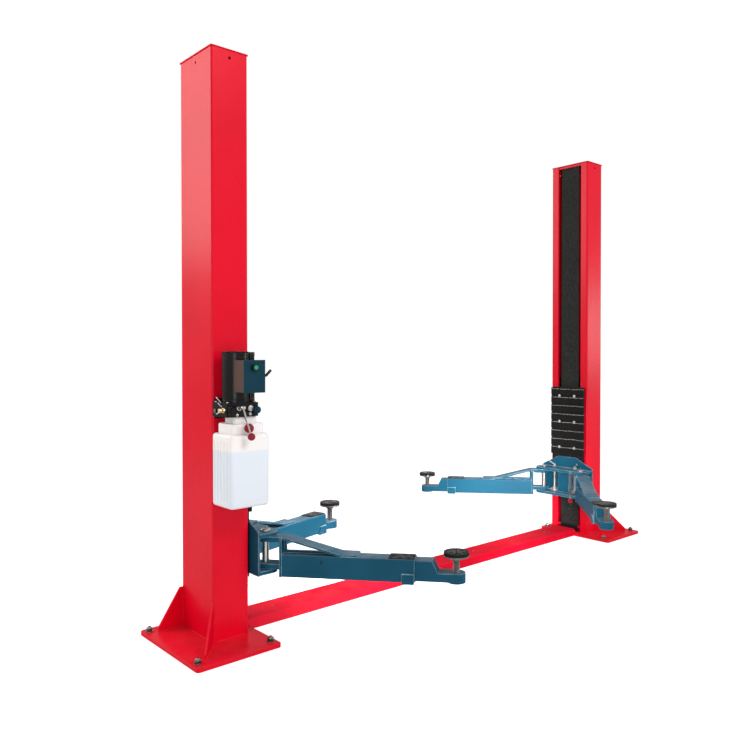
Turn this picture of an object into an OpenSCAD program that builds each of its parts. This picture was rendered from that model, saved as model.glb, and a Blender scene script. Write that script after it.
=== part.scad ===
// Two post car lift with a floor cover between its posts.
// Left is -X. The front is -Y and carries the power unit, on the left post.
// The origin is on the floor, midway between the posts.

/* [Posts] */
// Clear width between the inner faces of the posts
clear_w = 2900; // [2700:10:3100]
// Height of each post channel
post_h = 2800; // [2750:10:3000]
// Depth by which welded plates run into each other
weld_in = 1; // [0.5:0.5:2]
// Width of a post along Y
post_w = 318; // [312:1:330]
// Depth of a post along X
post_d = 192; // [190:1:200]
// Thickness of the post steel
post_t = 6; // [5:0.5:6]
// Outside bend radius of the post corners
post_r = 10; // [7:1:14]
// Width of the slot in the inner face of a post
slot_w = 204; // [204:1:214]
// Depth of the lips turned in at the slot
lip_d = 22; // [16:1:24]
// Diameter of the small holes near the post top
top_hole_d = 14; // [8:1:18]
// Drop of the small holes below the post top
top_hole_drop = 36; // [30:1:60]
// Thickness of the top cap
cap_t = 4; // [3:0.5:6]
// Overhang of the top cap
cap_over = 5; // [3:1:8]

/* [Base plates] */
// Thickness of a base plate
base_t = 20; // [16:1:25]
// Reach of a base plate to the front
base_front = 375; // [360:5:400]
// Reach of a base plate to the back
base_back = 225; // [215:5:260]
// Reach of a base plate beyond the outer face of its post
base_out = 190; // [180:5:220]
// Reach of a base plate beyond the inner face of its post
base_in = 50; // [45:1:70]
// Corner radius of a base plate
base_r = 16; // [8:1:24]
// Diameter of the anchor holes
anchor_d = 22; // [18:1:24]
// Distance of the front anchor holes from the post centre plane
anchor_front = 320; // [300:1:335]
// Distance of the back anchor holes from the post centre plane
anchor_back = 184; // [180:1:190]
// Distance of the outer anchor holes beyond the outer face of the post
anchor_out = 160; // [145:1:165]
// Distance of the inner anchor holes beyond the inner face of the post
anchor_in = 22; // [20:1:28]
// Thickness of the gussets
gusset_t = 10; // [8:1:12]
// Height of the gussets above the base plate
gusset_h = 195; // [160:1:220]
// Width of a gusset at its top
gusset_top = 16; // [10:1:24]
// Height of a gusset at its toe
gusset_toe = 20; // [10:1:30]
// Length of the back gusset
back_gusset_l = 128; // [100:1:140]
// Length of the slanting front gusset
front_gusset_l = 190; // [160:1:200]
// Turn of the front gusset from the X axis
front_gusset_a = 51; // [45:1:56]

/* [Floor cover] */
// Height of the floor cover
cover_h = 42; // [36:1:50]
// Width of the floor cover across its flat top
cover_top_w = 175; // [150:1:190]
// Width of the floor cover at the floor
cover_base_w = 240; // [220:1:260]
// Thickness of the floor cover plate
cover_t = 4; // [3:0.5:5]
// Shift of the floor cover to the back
cover_y = 38; // [20:1:40]
// Gap between the floor cover and each post
cover_gap = 1; // [0.5:0.5:3]

/* [Curtains] */
// Width of a slot curtain
curtain_w = 156; // [140:1:158]
// Thickness of a slot curtain
curtain_t = 2; // [1:0.5:3]
// Height of the curtain's lower edge above the floor
curtain_z = 50; // [48:1:54]
// Depth of the bars that hold a curtain
curtain_bar_t = 6; // [4:1:8]
// Height of the bars that hold a curtain
curtain_bar_h = 16; // [10:1:18]

/* [Carriages] */
// Height of the lower edge of a carriage front plate
car_z = 288; // [285:1:295]
// Height of a carriage front plate
car_h = 834; // [832:1:850]
// Width of a carriage front plate
car_w = 280; // [260:1:290]
// Thickness of a carriage front plate
car_t = 10; // [8:1:10]
// Running gap between a moving part and the post
run_gap = 5; // [5:0.5:5.5]
// Thickness of the side webs that pass through the slot
car_web_t = 12; // [10:1:13]
// Height of the slider box inside a post
slider_h = 900; // [850:10:950]
// Wall of the slider box inside a post
slider_t = 8; // [6:1:10]
// Gap between the slider box and the side walls of the post
slider_gap = 7; // [6:1:10]
// Gap between the slider box and the outer wall of the post
slider_rear = 6; // [5:1:8]
// Depth of the slider box
slider_d = 148; // [140:1:150]
// Height of the slider pads
slide_pad_h = 120; // [80:5:160]
// Width of the slider pads
slide_pad_w = 40; // [30:1:50]

/* [Door guards] */
// Width of a door guard
guard_w = 290; // [270:1:300]
// Height of the lower edge of a door guard
guard_z = 606; // [600:1:612]
// Height of a door guard
guard_h = 512; // [500:1:514]
// Thickness of a door guard sheet
guard_t = 8; // [6:1:10]
// Thickness of the ribs on a door guard
guard_rib_t = 6; // [4:1:8]
// Number of ribs on a door guard
guard_ribs = 8; // [6:1:10]
// Width of the grooves between the ribs
guard_groove = 9; // [6:1:12]

/* [Arm brackets] */
// Distance of an arm pivot from the inner face of its post
pivot_in = 92; // [90:1:96]
// Distance of an arm pivot from the post centre plane
pivot_y = 165; // [155:1:170]
// Thickness of the bracket back plate
back_t = 10; // [8:1:11]
// Half width of the bracket plates beyond a pivot
lobe_r = 58; // [52:1:60]
// Height of the lower edge of the back plate
back_z = 304; // [300:1:306]
// Height of the back plate at its ends
back_end_z = 516; // [514:1:525]
// Height of the back plate ridge
back_top_z = 588; // [560:1:598]
// Length of the back plate ridge
back_ridge = 156; // [120:1:180]
// Height of the underside of the bottom plate
low_plate_z = 306; // [306:1:308]
// Height of the underside of the top plate
top_plate_z = 487; // [487:1:490]
// Thickness of the top and bottom plates
plate_t = 18; // [16:1:18]
// Width of the web box between the plates
web_box_w = 96; // [80:1:110]
// Depth of the web box between the plates
web_box_d = 48; // [40:1:60]
// Diameter of the arm pivot pins
pin_d = 34; // [30:1:38]
// Diameter of the heads of the pivot pins
pin_head_d = 50; // [44:1:56]
// Thickness of the heads of the pivot pins
pin_head_t = 8; // [6:1:12]
// Diameter of the arm lock rods
lock_d = 18; // [14:1:20]
// Distance of a lock rod from the post centre plane
lock_y = 92; // [88:1:98]
// Distance of a lock rod from the inner face of its post
lock_in = 54; // [50:1:60]
// Height of a lock rod above the top plate
lock_up = 26; // [20:1:40]

/* [Arms] */
// Radial play of a pin in its bore
play = 0.05; // [0.02:0.01:0.1]
// Thickness of the arm lugs
lug_t = 25; // [20:1:25]
// Gap between a lug and the plate beside it
lug_gap = 3; // [2:0.5:4]
// Clearance of parts that slide or turn on each other
seat_gap = 0.3; // [0.2:0.1:0.5]
// Diameter of the washer under a lug
washer_d = 56; // [50:1:70]
// Radius of the arm lugs
lug_r = 40; // [36:1:42]
// Width of the outer arm tube
beam_w = 100; // [98:1:104]
// Height of the outer arm tube
beam_h = 110; // [108:1:112]
// Wall of the outer arm tube
beam_t = 6; // [5:0.5:6]
// Height of the underside of the outer arm tube
beam_z = 292; // [290:1:294]
// Bend radius of the arm tubes
beam_r = 9; // [8:0.5:10]
// Distance of the yoke plate from the pivot
yoke_u = 84; // [82:1:88]
// Thickness of the yoke plate
yoke_t = 12; // [10:1:14]
// Distance of the outer tube's end from the pivot
beam_end = 748; // [740:1:760]
// Width of the sloping brace
brace_w = 90; // [80:1:96]
// Thickness of the sloping brace
brace_t = 10; // [8:1:12]
// Distance from the pivot at which the brace meets the tube
brace_low_u = 385; // [360:1:400]
// Distance from the pivot at which the brace ends
brace_end = 470; // [450:1:490]
// Length of the brace's flat at the yoke
brace_flat = 24; // [16:1:30]
// Thickness of the plate under the brace
rib_t = 10; // [8:1:12]
// Edge left around the window under the brace
rib_edge = 14; // [12:1:18]
// Length of the collar round the tube's end
collar_l = 60; // [50:1:70]
// Thickness of the collar
collar_t = 7; // [5:1:8]
// Height of the collar's sides
collar_h = 48; // [40:1:60]
// Distance of the collar from the tube's end
collar_back = 2; // [0:1:20]
// Length of a grip block on an arm
grip_l = 124; // [110:1:150]
// Width of a grip block
grip_w = 84; // [70:1:100]
// Thickness of a grip block
grip_t = 7; // [5:1:10]
// Distance of a grip block from the tube's end
grip_back = 2; // [0:1:10]

/* [Arm extensions] */
// Gap between the inner and outer arm tubes
ext_gap = 0.4; // [0.3:0.1:1]
// Wall of the inner arm tube
ext_t = 8; // [6:1:8]
// Length of the inner arm tube back from the pad centre
ext_l = 572; // [560:1:580]
// Gap between a pad and the outer tube's end when the arm is pushed right in
pad_gap = 10; // [8:1:20]
// Distance back from the pad centre at which the slope ends
slope_end = 84; // [80:1:90]
// Distance back from the pad centre at which the slope begins
slope_start = 112; // [108:1:118]
// Radius of the boss at the end of an arm
boss_r = 44; // [40:1:46]
// Height of the boss
boss_h = 48; // [44:1:54]
// Height of the underside of the boss
boss_z = 292; // [290:1:294]

/* [Lifting pads] */
// Diameter of the pad screw
screw_d = 33; // [30:1:36]
// Height of the lower end of the pad screw
screw_z = 286; // [284:1:290]
// Diameter of a lifting pad
pad_d = 122; // [116:1:130]
// Thickness of the steel cup under a pad
cup_t = 7; // [5:1:8]
// Thickness of the rubber of a pad
pad_t = 19; // [16:1:22]
// Height of the top of a pad
pad_top_z = 440; // [440:1:446]
// Depth of the hollow in a pad's face
pad_dish = 3; // [2:0.5:5]
// Diameter of the hollow in a pad's face
pad_dish_d = 86; // [80:1:96]

/* [Arm positions] */
// Turn of the left front arm towards the front
arm_fl_a = 50.5; // [45:0.5:60]
// Turn of the left back arm towards the back
arm_bl_a = 16; // [10:0.5:30]
// Turn of the right front arm towards the front
arm_fr_a = 44; // [35:0.5:55]
// Turn of the right back arm towards the back
arm_br_a = 49; // [40:0.5:60]
// How far the left front extension is drawn out
arm_fl_out = 125; // [0:1:180]
// How far the left back extension is drawn out
arm_bl_out = 34; // [0:1:180]
// How far the right front extension is drawn out
arm_fr_out = 83; // [0:1:180]
// How far the right back extension is drawn out
arm_br_out = 90; // [0:1:180]
// How far the left back pad is screwed up
arm_bl_up = 14; // [0:1:20]
// How far the right front pad is screwed up
arm_fr_up = 14; // [0:1:20]

/* [Power unit] */
// Distance of the motor axis from the outer face of the left post
motor_x = 66; // [64:1:76]
// Distance of the motor axis from the front face of the post
motor_y = 98; // [94:1:104]
// Diameter of the motor
motor_d = 122; // [116:1:140]
// Height of the motor's lower end
motor_z = 1156; // [1152:1:1160]
// Length of the motor
motor_h = 230; // [220:1:240]
// Height of the rims at both ends of the motor
motor_rim = 10; // [8:1:14]
// Step of the rims out from the motor's shell
motor_step = 2; // [1:0.5:3]
// Diameter of the start capacitor
capacitor_d = 34; // [28:1:40]
// Distance of the capacitor from the motor axis
capacitor_off = 82; // [80:1:96]
// Thickness of the strap that carries the capacitor
strap_t = 10; // [6:1:14]
// Width of the control box
control_w = 106; // [100:1:120]
// Height of the control box
control_h = 145; // [130:1:160]
// Depth of the control box
control_d = 90; // [86:1:100]
// Height of the control box's lower edge above the motor's lower end
control_up = 50; // [44:1:54]
// Distance of the control box's outer side from the motor axis
control_off = 37.5; // [30:0.5:42]
// Distance of the control box's front from the post
control_front = 244; // [240:1:250]
// Thickness of the control box's cover
control_cover_t = 5; // [3:0.5:8]
// Edge of the cover beyond the box
control_lip = 2; // [1:0.5:3]
// Diameter of the start button
button_d = 20; // [16:1:24]
// Height of the start button
button_h = 22; // [12:1:24]
// Depth of the start button's well behind the cover
button_well = 4; // [4:0.5:8]
// Distance of the start button from the cover's right edge
button_x = 56; // [30:1:60]
// Distance of the start button below the cover's top
button_drop = 32; // [24:1:50]
// Length of the pump block
pump_l = 164; // [156:1:168]
// Width of the pump block
pump_w = 130; // [126:1:134]
// Height of the pump block
pump_h = 64; // [60:1:66]
// Thickness of the wall bracket
wall_t = 8; // [6:1:10]
// Height of the wall bracket
wall_h = 96; // [90:1:110]
// Width of the wall bracket
wall_w = 110; // [100:1:120]
// Width of the block between the wall plate and the pump block
wall_arm_w = 70; // [60:1:90]
// Distance of the tank's outer side from the post's outer face
tank_x = 10; // [2:1:12]
// Width of the oil tank
tank_w = 207; // [190:1:210]
// Depth of the oil tank
tank_d = 185; // [180:1:190]
// Gap between the oil tank and the post
tank_gap = 6; // [5:1:8]
// Height of the oil tank's body
tank_h = 338; // [300:1:380]
// Height of the tank's shoulder and neck together, from its body up to the pump block
tank_rise = 79; // [76:1:84]
// Height of the tank's shoulder
tank_shoulder_h = 47; // [44:1:50]
// Corner radius of the oil tank
tank_r = 18; // [12:1:24]
// Chamfer round the tank's underside
tank_chamfer = 14; // [8:1:18]
// Step in from the tank's body to its shoulder
tank_step = 19; // [17:1:21]
// Step in from the tank's body to its neck
tank_neck_step = 41; // [39:1:43]
// Chamfer at the top of the tank's body
tank_top_chamfer = 5; // [3:1:8]
// Radius of the grooves on the tank's sides
tank_groove_r = 4; // [3:0.5:5]
// Spacing of the grooves on the tank's sides
tank_groove_gap = 30; // [26:1:32]

/* [Lowering lever] */
// Diameter of the lowering lever's rod
lever_d = 7; // [6:0.5:9]
// Length of the lowering lever
lever_l = 139; // [120:1:150]
// Slope of the lowering lever from the vertical
lever_a = 17.5; // [10:0.5:24]
// Diameter of the ball on the lowering lever
ball_d = 35; // [30:1:36]
// Diameter of the lever's hub
lever_hub_d = 18; // [16:1:22]
// Length of the lever's hub
lever_hub_l = 12; // [10:1:16]
// Diameter of the valve pin that carries the lever
valve_d = 9; // [8:1:10]
// Length of the valve pin
valve_l = 76; // [70:1:84]
// Distance of the valve pin from the block's outer end
valve_x = 44; // [30:1:60]
// Height of the valve pin above the block's underside
valve_z = 46; // [34:1:52]
// Diameter of the fixed valve knob
knob_d = 44; // [38:1:44]
// Distance of the knob from the motor axis, away from the post's outer face
knob_x = 12; // [10:1:14]
// Distance of the knob in front of the pump block
knob_out = 36; // [35:1:37]
// Depth of the knob below the pump block
knob_drop = 51; // [48:1:54]
// Tilt of the knob's rod
knob_tilt = 38; // [37:1:39]
// Length of the knob's rod, part of which would be in the pump block
knob_rod_l = 84; // [82:1:92]

/* [Release pull] */
// Diameter of the release pull's wire
wire_d = 3; // [2.5:0.5:4]
// Length of the release pull's wire
wire_l = 208; // [200:1:215]
// Distance between the two strands of the wire
wire_gap = 12; // [10:1:16]
// Length of the wire's hook on the top plate
pull_hook = 14; // [8:1:20]
// Distance of the release pull from the post centre plane
pull_y = 118; // [105:1:122]
// Diameter of the pull ring
ring_d = 34; // [30:1:40]
// Thickness of the pull ring
ring_t = 8; // [6:1:10]

/* [Hidden] */
$fn = 64;
// small overlap used only inside cuts
eps = 1;
post_in = clear_w / 2;
post_out = post_in + post_d;
post_top = base_t + post_h;
// front face of the carriage plates and of the bracket's back plate
plate_x = post_in - run_gap - car_t;
back_x = plate_x - back_t;
pivot_x = post_in - pivot_in;
curtain_x = post_in + post_t + curtain_bar_t;
car_web_y = slot_w / 2 - run_gap - car_web_t;
slider_x = post_out - post_t - slider_d - slider_rear;
lobe_x = pivot_x - lobe_r;
lug_top_z = top_plate_z - lug_gap;
lug_low_z = low_plate_z + plate_t + lug_gap;
beam_top = beam_z + beam_h;
pad_u = beam_end + pad_gap + pad_d / 2;
ext_w = beam_w - 2 * beam_t - 2 * ext_gap;
ext_h = beam_h - 2 * beam_t - 2 * ext_gap;
ext_z = beam_z + beam_t + ext_gap;
ext_r = beam_r - beam_t / 2;
motor_cx = -post_out + motor_x;
motor_cy = -post_w / 2 - motor_y;
block_x0 = motor_cx - pump_l / 2;
block_y0 = motor_cy - pump_w / 2;
block_z = motor_z - pump_h;
control_z = motor_z + control_up;
tank_z = block_z - tank_rise - tank_h;
tank_cx = -post_out - tank_x + tank_w / 2;
tank_cy = -post_w / 2 - tank_gap - tank_d / 2;
control_x0 = motor_cx - control_off;
control_y0 = -post_w / 2 - control_front;
valve_cx = block_x0 + valve_x;
valve_cz = block_z + valve_z;
red = [0.84, 0.07, 0.12];
blue = [0.12, 0.42, 0.55];
black = [0.06, 0.06, 0.06];
steel = [0.62, 0.63, 0.65];
white = [0.92, 0.93, 0.96];

// Which piece to draw

// a rectangle with round corners, from its low corner
module round_rect(w, d, r) {
  translate([r, 0]) square([w - 2 * r, d]);
  translate([0, r]) square([w, d - 2 * r]);
  for (x = [r, w - r], y = [r, d - r]) translate([x, y]) circle(r);
}

// a square tube along X, from x = 0, centred on y = 0
module tube_x(l, w, h, t, r) {
  rotate([90, 0, 90]) linear_extrude(l) difference() {
    translate([-w / 2, 0]) round_rect(w, h, r);
    translate([-w / 2 + t, t]) round_rect(w - 2 * t, h - 2 * t, r - t / 2);
  }
}

// a plate standing on the X axis with its outline given in X and Z
module upright(points, t) {
  translate([0, t / 2, 0]) rotate([90, 0, 0]) linear_extrude(t) polygon(points);
}

module mirrored() {
  mirror([1, 0, 0]) children();
}

// carries an arm's own frame (+X along the arm) to the left front pivot
module at_front(a) {
  translate([-pivot_x, -pivot_y, 0]) rotate([0, 0, -a]) children();
}

module at_back(a) {
  mirror([0, 1, 0]) at_front(a) children();
}

// Posts

module post_plan() {
  difference() {
    translate([-post_out, -post_w / 2]) round_rect(post_d, post_w, post_r);
    translate([-post_out + post_t, -post_w / 2 + post_t])
      round_rect(post_d - 2 * post_t, post_w - 2 * post_t, post_r - post_t / 2);
    translate([-post_in - post_t - eps, -slot_w / 2]) square([post_t + 2 * eps, slot_w]);
  }
  for (s = [-1, 1]) translate([-post_in - lip_d, s > 0 ? slot_w / 2 : -slot_w / 2 - post_t])
    square([lip_d, post_t]);
}

module gusset(l) {
  upright([[0, 0], [-l, 0], [-l, gusset_toe], [-gusset_top, gusset_h], [0, gusset_h]], gusset_t);
}

module base_plate() {
  difference() {
    translate([-post_out - base_out, -base_front, 0]) linear_extrude(base_t)
      round_rect(post_d + base_in + base_out, base_front + base_back, base_r);
    for (x = [-post_out - anchor_out, -post_in + anchor_in], y = [-anchor_front, anchor_back])
      translate([x, y, -eps]) cylinder(d = anchor_d, h = base_t + 2 * eps);
  }
}

module post() {
  color(red) {
    base_plate();
    difference() {
      translate([0, 0, base_t]) linear_extrude(post_h) post_plan();
      translate([-post_out - eps, 0, post_top - top_hole_drop]) rotate([0, 90, 0])
        cylinder(d = top_hole_d, h = post_t + 2 * eps);
      translate([-post_in - post_d / 2, -post_w / 2 - eps, post_top - top_hole_drop])
        rotate([-90, 0, 0]) cylinder(d = top_hole_d, h = post_w + 2 * eps);
    }
    translate([-post_out + weld_in, post_w / 2 - gusset_t / 2, base_t]) gusset(back_gusset_l);
    translate([-post_out + gusset_t / 2, -post_w / 2 + gusset_t / 2, base_t])
      rotate([0, 0, front_gusset_a]) gusset(front_gusset_l);
    for (z = [curtain_z, post_top - curtain_bar_h])
      translate([-curtain_x, -slot_w / 2, z]) cube([curtain_bar_t, slot_w, curtain_bar_h]);
  }
}

module top_cap() {
  color(red) translate([-post_out - cap_over, -post_w / 2 - cap_over, post_top])
    linear_extrude(cap_t) round_rect(post_d + 2 * cap_over, post_w + 2 * cap_over, post_r);
}

module curtain() {
  color(black) translate([-curtain_x - curtain_t, -curtain_w / 2, curtain_z])
    cube([curtain_t, curtain_w, post_top - curtain_z]);
}

module floor_cover() {
  half = post_in - cover_gap;
  color(red) difference() {
    translate([-half, cover_y, 0]) rotate([90, 0, 90]) linear_extrude(2 * half)
      polygon([[-cover_base_w / 2, 0], [-cover_top_w / 2, cover_h], [cover_top_w / 2, cover_h],
        [cover_base_w / 2, 0], [cover_base_w / 2 - cover_t, 0],
        [cover_top_w / 2 - cover_t / 2, cover_h - cover_t],
        [-cover_top_w / 2 + cover_t / 2, cover_h - cover_t], [-cover_base_w / 2 + cover_t, 0]]);
    for (s = [-1, 1]) translate([s > 0 ? post_in - base_in : -post_in - eps, -base_front, -eps])
      cube([base_in + eps, base_front + base_back, base_t + eps]);
  }
}

// Carriages

module carriage() {
  color(black) {
    translate([-post_in + run_gap, -car_w / 2, car_z]) cube([car_t, car_w, car_h]);
    for (s = [-1, 1])
      translate([-slider_x, s > 0 ? car_web_y : -car_web_y - car_web_t, car_z])
        cube([slider_x - post_in + run_gap, car_web_t, car_h]);
    translate([-slider_x - slider_d, -post_w / 2 + post_t + slider_gap, car_z])
      linear_extrude(slider_h) difference() {
        square([slider_d, post_w - 2 * post_t - 2 * slider_gap]);
        translate([slider_t, slider_t])
          square([slider_d - 2 * slider_t, post_w - 2 * post_t - 2 * slider_gap - 2 * slider_t]);
      }
    for (z = [car_z, car_z + slider_h - slide_pad_h]) {
      for (s = [-1, 1]) translate([-slider_x - slider_d / 2 - slide_pad_w / 2,
        s > 0 ? post_w / 2 - post_t - slider_gap : -post_w / 2 + post_t + seat_gap, z])
        cube([slide_pad_w, slider_gap - seat_gap, slide_pad_h]);
      translate([-post_out + post_t + seat_gap, -slide_pad_w / 2, z])
        cube([post_out - post_t - seat_gap - slider_x - slider_d, slide_pad_w, slide_pad_h]);
    }
  }
}

module door_guard() {
  pitch = (guard_h + guard_groove) / guard_ribs;
  color(black) {
    translate([-plate_x, -guard_w / 2, guard_z]) cube([guard_t, guard_w, guard_h]);
    for (i = [0 : guard_ribs - 1])
      translate([-plate_x + guard_t, -guard_w / 2, guard_z + i * pitch])
        cube([guard_rib_t, guard_w, pitch - guard_groove]);
  }
}

module bracket_plan() {
  translate([-back_x, -pivot_y - lobe_r]) square([back_x - pivot_x, 2 * pivot_y + 2 * lobe_r]);
  translate([-pivot_x, -pivot_y]) square([lobe_r, 2 * pivot_y]);
  for (s = [-1, 1]) translate([-pivot_x, s * pivot_y]) circle(lobe_r);
}

module bracket_holes() {
  h = top_plate_z + plate_t - low_plate_z + 2 * eps;
  for (s = [-1, 1]) {
    translate([-pivot_x, s * pivot_y, low_plate_z - eps]) cylinder(d = pin_d, h = h);
    translate([-post_in + lock_in, s * lock_y, low_plate_z - eps]) cylinder(d = lock_d, h = h);
  }
}

module arm_bracket() {
  half = pivot_y + lobe_r;
  color(blue) {
    translate([-plate_x, 0, 0]) rotate([90, 0, 90]) linear_extrude(back_t)
      polygon([[-half, back_z], [-half, back_end_z], [-back_ridge / 2, back_top_z],
        [back_ridge / 2, back_top_z], [half, back_end_z], [half, back_z]]);
    difference() {
      union() {
        for (z = [low_plate_z, top_plate_z]) translate([0, 0, z]) linear_extrude(plate_t)
          bracket_plan();
        translate([-back_x, -web_box_w / 2, low_plate_z])
          cube([web_box_d, web_box_w, top_plate_z - low_plate_z]);
      }
      bracket_holes();
    }
  }
}

module pivot_pins() {
  color(steel) for (s = [-1, 1]) {
    translate([-pivot_x, s * pivot_y, low_plate_z + plate_t])
      cylinder(d = washer_d, h = lug_gap - seat_gap);
    translate([-pivot_x, s * pivot_y, low_plate_z]) {
      cylinder(d = pin_d, h = top_plate_z + plate_t - low_plate_z);
      translate([0, 0, top_plate_z + plate_t - low_plate_z])
        cylinder(d = pin_head_d, h = pin_head_t);
    }
    translate([-post_in + lock_in, s * lock_y, low_plate_z])
      cylinder(d = lock_d, h = top_plate_z + plate_t - low_plate_z + lock_up);
  }
}

module release_pull() {
  top = top_plate_z + plate_t + wire_d / 2;
  color(steel) mirrored() translate([-lobe_x + wire_d / 2, -pull_y, 0]) {
    for (s = [-1, 1]) translate([0, s * wire_gap / 2, top]) {
      translate([0, 0, -wire_l]) cylinder(d = wire_d, h = wire_l);
      rotate([0, -90, 0]) cylinder(d = wire_d, h = pull_hook);
    }
    translate([0, 0, top - wire_l - ring_d / 2 + ring_t / 2]) rotate([0, 90, 0])
      rotate_extrude() translate([ring_d / 2 - ring_t / 2, 0]) circle(d = ring_t);
  }
}

// Arms, in the arm's own frame

module lug() {
  difference() {
    linear_extrude(lug_t) {
      circle(lug_r);
      translate([0, -lug_r]) square([yoke_u + weld_in, 2 * lug_r]);
    }
    translate([0, 0, -eps]) cylinder(d = pin_d + 2 * play, h = lug_t + 2 * eps);
  }
}

module arm() {
  wide = beam_w;
  rib_top = lug_top_z - brace_t;
  brace_u = yoke_u + brace_flat;
  // height of the brace's underside at a distance u
  slope = (rib_top - beam_top) / (brace_low_u - brace_u);
  color(blue) {
    translate([0, 0, lug_low_z]) lug();
    translate([0, 0, lug_top_z - lug_t]) lug();
    translate([yoke_u, -wide / 2, beam_z]) cube([yoke_t, wide, lug_top_z - beam_z]);
    translate([yoke_u, 0, beam_z]) tube_x(beam_end - yoke_u, beam_w, beam_h, beam_t, beam_r);
    upright([[yoke_u, lug_top_z], [brace_u, lug_top_z], [brace_low_u, beam_top + brace_t],
      [brace_end, beam_top + brace_t], [brace_end, beam_top], [brace_low_u, beam_top],
      [brace_u, rib_top], [yoke_u, rib_top]], brace_w);
    difference() {
      upright([[yoke_u + yoke_t, beam_top], [brace_low_u, beam_top], [brace_u, rib_top],
        [yoke_u + yoke_t, rib_top]], rib_t);
      upright([[yoke_u + yoke_t + rib_edge, beam_top + rib_edge],
        [brace_low_u - 2 * rib_edge / slope, beam_top + rib_edge],
        [brace_u + rib_edge, rib_top - rib_edge], [yoke_u + yoke_t + rib_edge, rib_top - rib_edge]],
        rib_t + 2 * eps);
    }
    translate([beam_end - collar_back - collar_l, 0, beam_z]) difference() {
      translate([0, -beam_w / 2 - collar_t, -collar_t])
        cube([collar_l, beam_w + 2 * collar_t, collar_h]);
      translate([-eps, -beam_w / 2, 0]) cube([collar_l + 2 * eps, beam_w, collar_h + eps]);
    }
  }
}

module grip() {
  color(black) translate([beam_end - grip_back - grip_l, -grip_w / 2, beam_top])
    cube([grip_l, grip_w, grip_t]);
}

module extension() {
  start = pad_u - ext_l;
  top_u = pad_u - slope_start;
  tongue_top = boss_z + boss_h;
  color(blue) difference() {
    union() {
      intersection() {
        translate([start, -ext_w / 2, ext_z]) rotate([90, 0, 90]) linear_extrude(ext_l)
          round_rect(ext_w, ext_h, ext_r);
        upright([[start, ext_z], [pad_u, ext_z], [pad_u, tongue_top],
          [pad_u - slope_end, tongue_top], [top_u, ext_z + ext_h], [start, ext_z + ext_h]], ext_w);
      }
      translate([pad_u, 0, boss_z]) cylinder(r = boss_r, h = boss_h);
    }
    translate([start - eps, -ext_w / 2 + ext_t, ext_z + ext_t]) rotate([90, 0, 90])
      linear_extrude(ext_l - slope_start - ext_t + eps)
        round_rect(ext_w - 2 * ext_t, ext_h - 2 * ext_t, ext_r - ext_t / 4);
    translate([pad_u, 0, boss_z - eps]) cylinder(d = screw_d + 2 * play, h = boss_h + 2 * eps);
  }
}

module screw() {
  cup_z = pad_top_z - pad_t - cup_t;
  color(steel) translate([pad_u, 0, 0]) {
    translate([0, 0, screw_z]) cylinder(d = screw_d, h = cup_z - screw_z);
    translate([0, 0, cup_z]) cylinder(d = pad_d, h = cup_t);
  }
}

module pad() {
  color(black) translate([pad_u, 0, pad_top_z - pad_t]) difference() {
    cylinder(d = pad_d, h = pad_t);
    translate([0, 0, pad_t - pad_dish]) cylinder(d = pad_dish_d, h = pad_dish + eps);
  }
}

module drawn_out(l, up = 0) {
  translate([l, 0, up]) children();
}

// Power unit

module wall_bracket() {
  color(black) {
    translate([motor_cx - wall_w / 2, -post_w / 2 - wall_t, block_z - (wall_h - pump_h) / 2])
      cube([wall_w, wall_t, wall_h]);
    translate([motor_cx - wall_arm_w / 2, block_y0 + pump_w, block_z])
      cube([wall_arm_w, -post_w / 2 - wall_t - block_y0 - pump_w, pump_h]);
  }
}

module motor() {
  color(black) translate([motor_cx, motor_cy, motor_z]) {
    cylinder(d = motor_d, h = motor_h);
    for (z = [0, motor_h - motor_rim]) translate([0, 0, z])
      cylinder(d = motor_d + 2 * motor_step, h = motor_rim);
    translate([capacitor_off, 0, 0]) cylinder(d = capacitor_d, h = motor_h);
    translate([0, -strap_t / 2, 0]) cube([capacitor_off, strap_t, motor_h]);
  }
}

module control_box() {
  color([0.35, 0.33, 0.32]) difference() {
    translate([control_x0, control_y0 + control_cover_t, control_z])
      cube([control_w, control_d, control_h]);
    translate([motor_cx, motor_cy, motor_z]) cylinder(d = motor_d, h = motor_h);
    translate([motor_cx + capacitor_off, motor_cy, motor_z])
      cylinder(d = capacitor_d + 2 * eps, h = motor_h);
    button_at() translate([0, 0, -control_cover_t - button_well])
      cylinder(d = button_d + 2 * play, h = button_well + eps);
  }
}

module button_at() {
  translate([control_x0 + control_w - button_x, control_y0, control_z + control_h - button_drop])
    rotate([90, 0, 0]) children();
}

module control_cover() {
  color([0.1, 0.25, 0.3]) difference() {
    translate([control_x0 - control_lip, control_y0, control_z - control_lip])
      cube([control_w + 2 * control_lip, control_cover_t, control_h + 2 * control_lip]);
    button_at() translate([0, 0, -control_cover_t - eps])
      cylinder(d = button_d + 2 * play, h = control_cover_t + 2 * eps);
  }
}

module start_button() {
  color([0.05, 0.6, 0.3]) button_at() translate([0, 0, -control_cover_t / 2])
    cylinder(d = button_d, h = button_h);
}

module pump_block() {
  color(black) {
    translate([block_x0, block_y0, block_z]) cube([pump_l, pump_w, pump_h]);
    translate([valve_cx, block_y0, valve_cz]) rotate([90, 0, 0]) cylinder(d = valve_d, h = valve_l);
  }
}

// a side view of the tank's body, as wide as w
module tank_side(w, t) {
  upright([[-w / 2 + tank_chamfer, 0], [-w / 2, tank_chamfer], [-w / 2, tank_h - tank_top_chamfer],
    [-w / 2 + tank_top_chamfer, tank_h], [w / 2 - tank_top_chamfer, tank_h],
    [w / 2, tank_h - tank_top_chamfer], [w / 2, tank_chamfer], [w / 2 - tank_chamfer, 0]], t);
}

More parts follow.
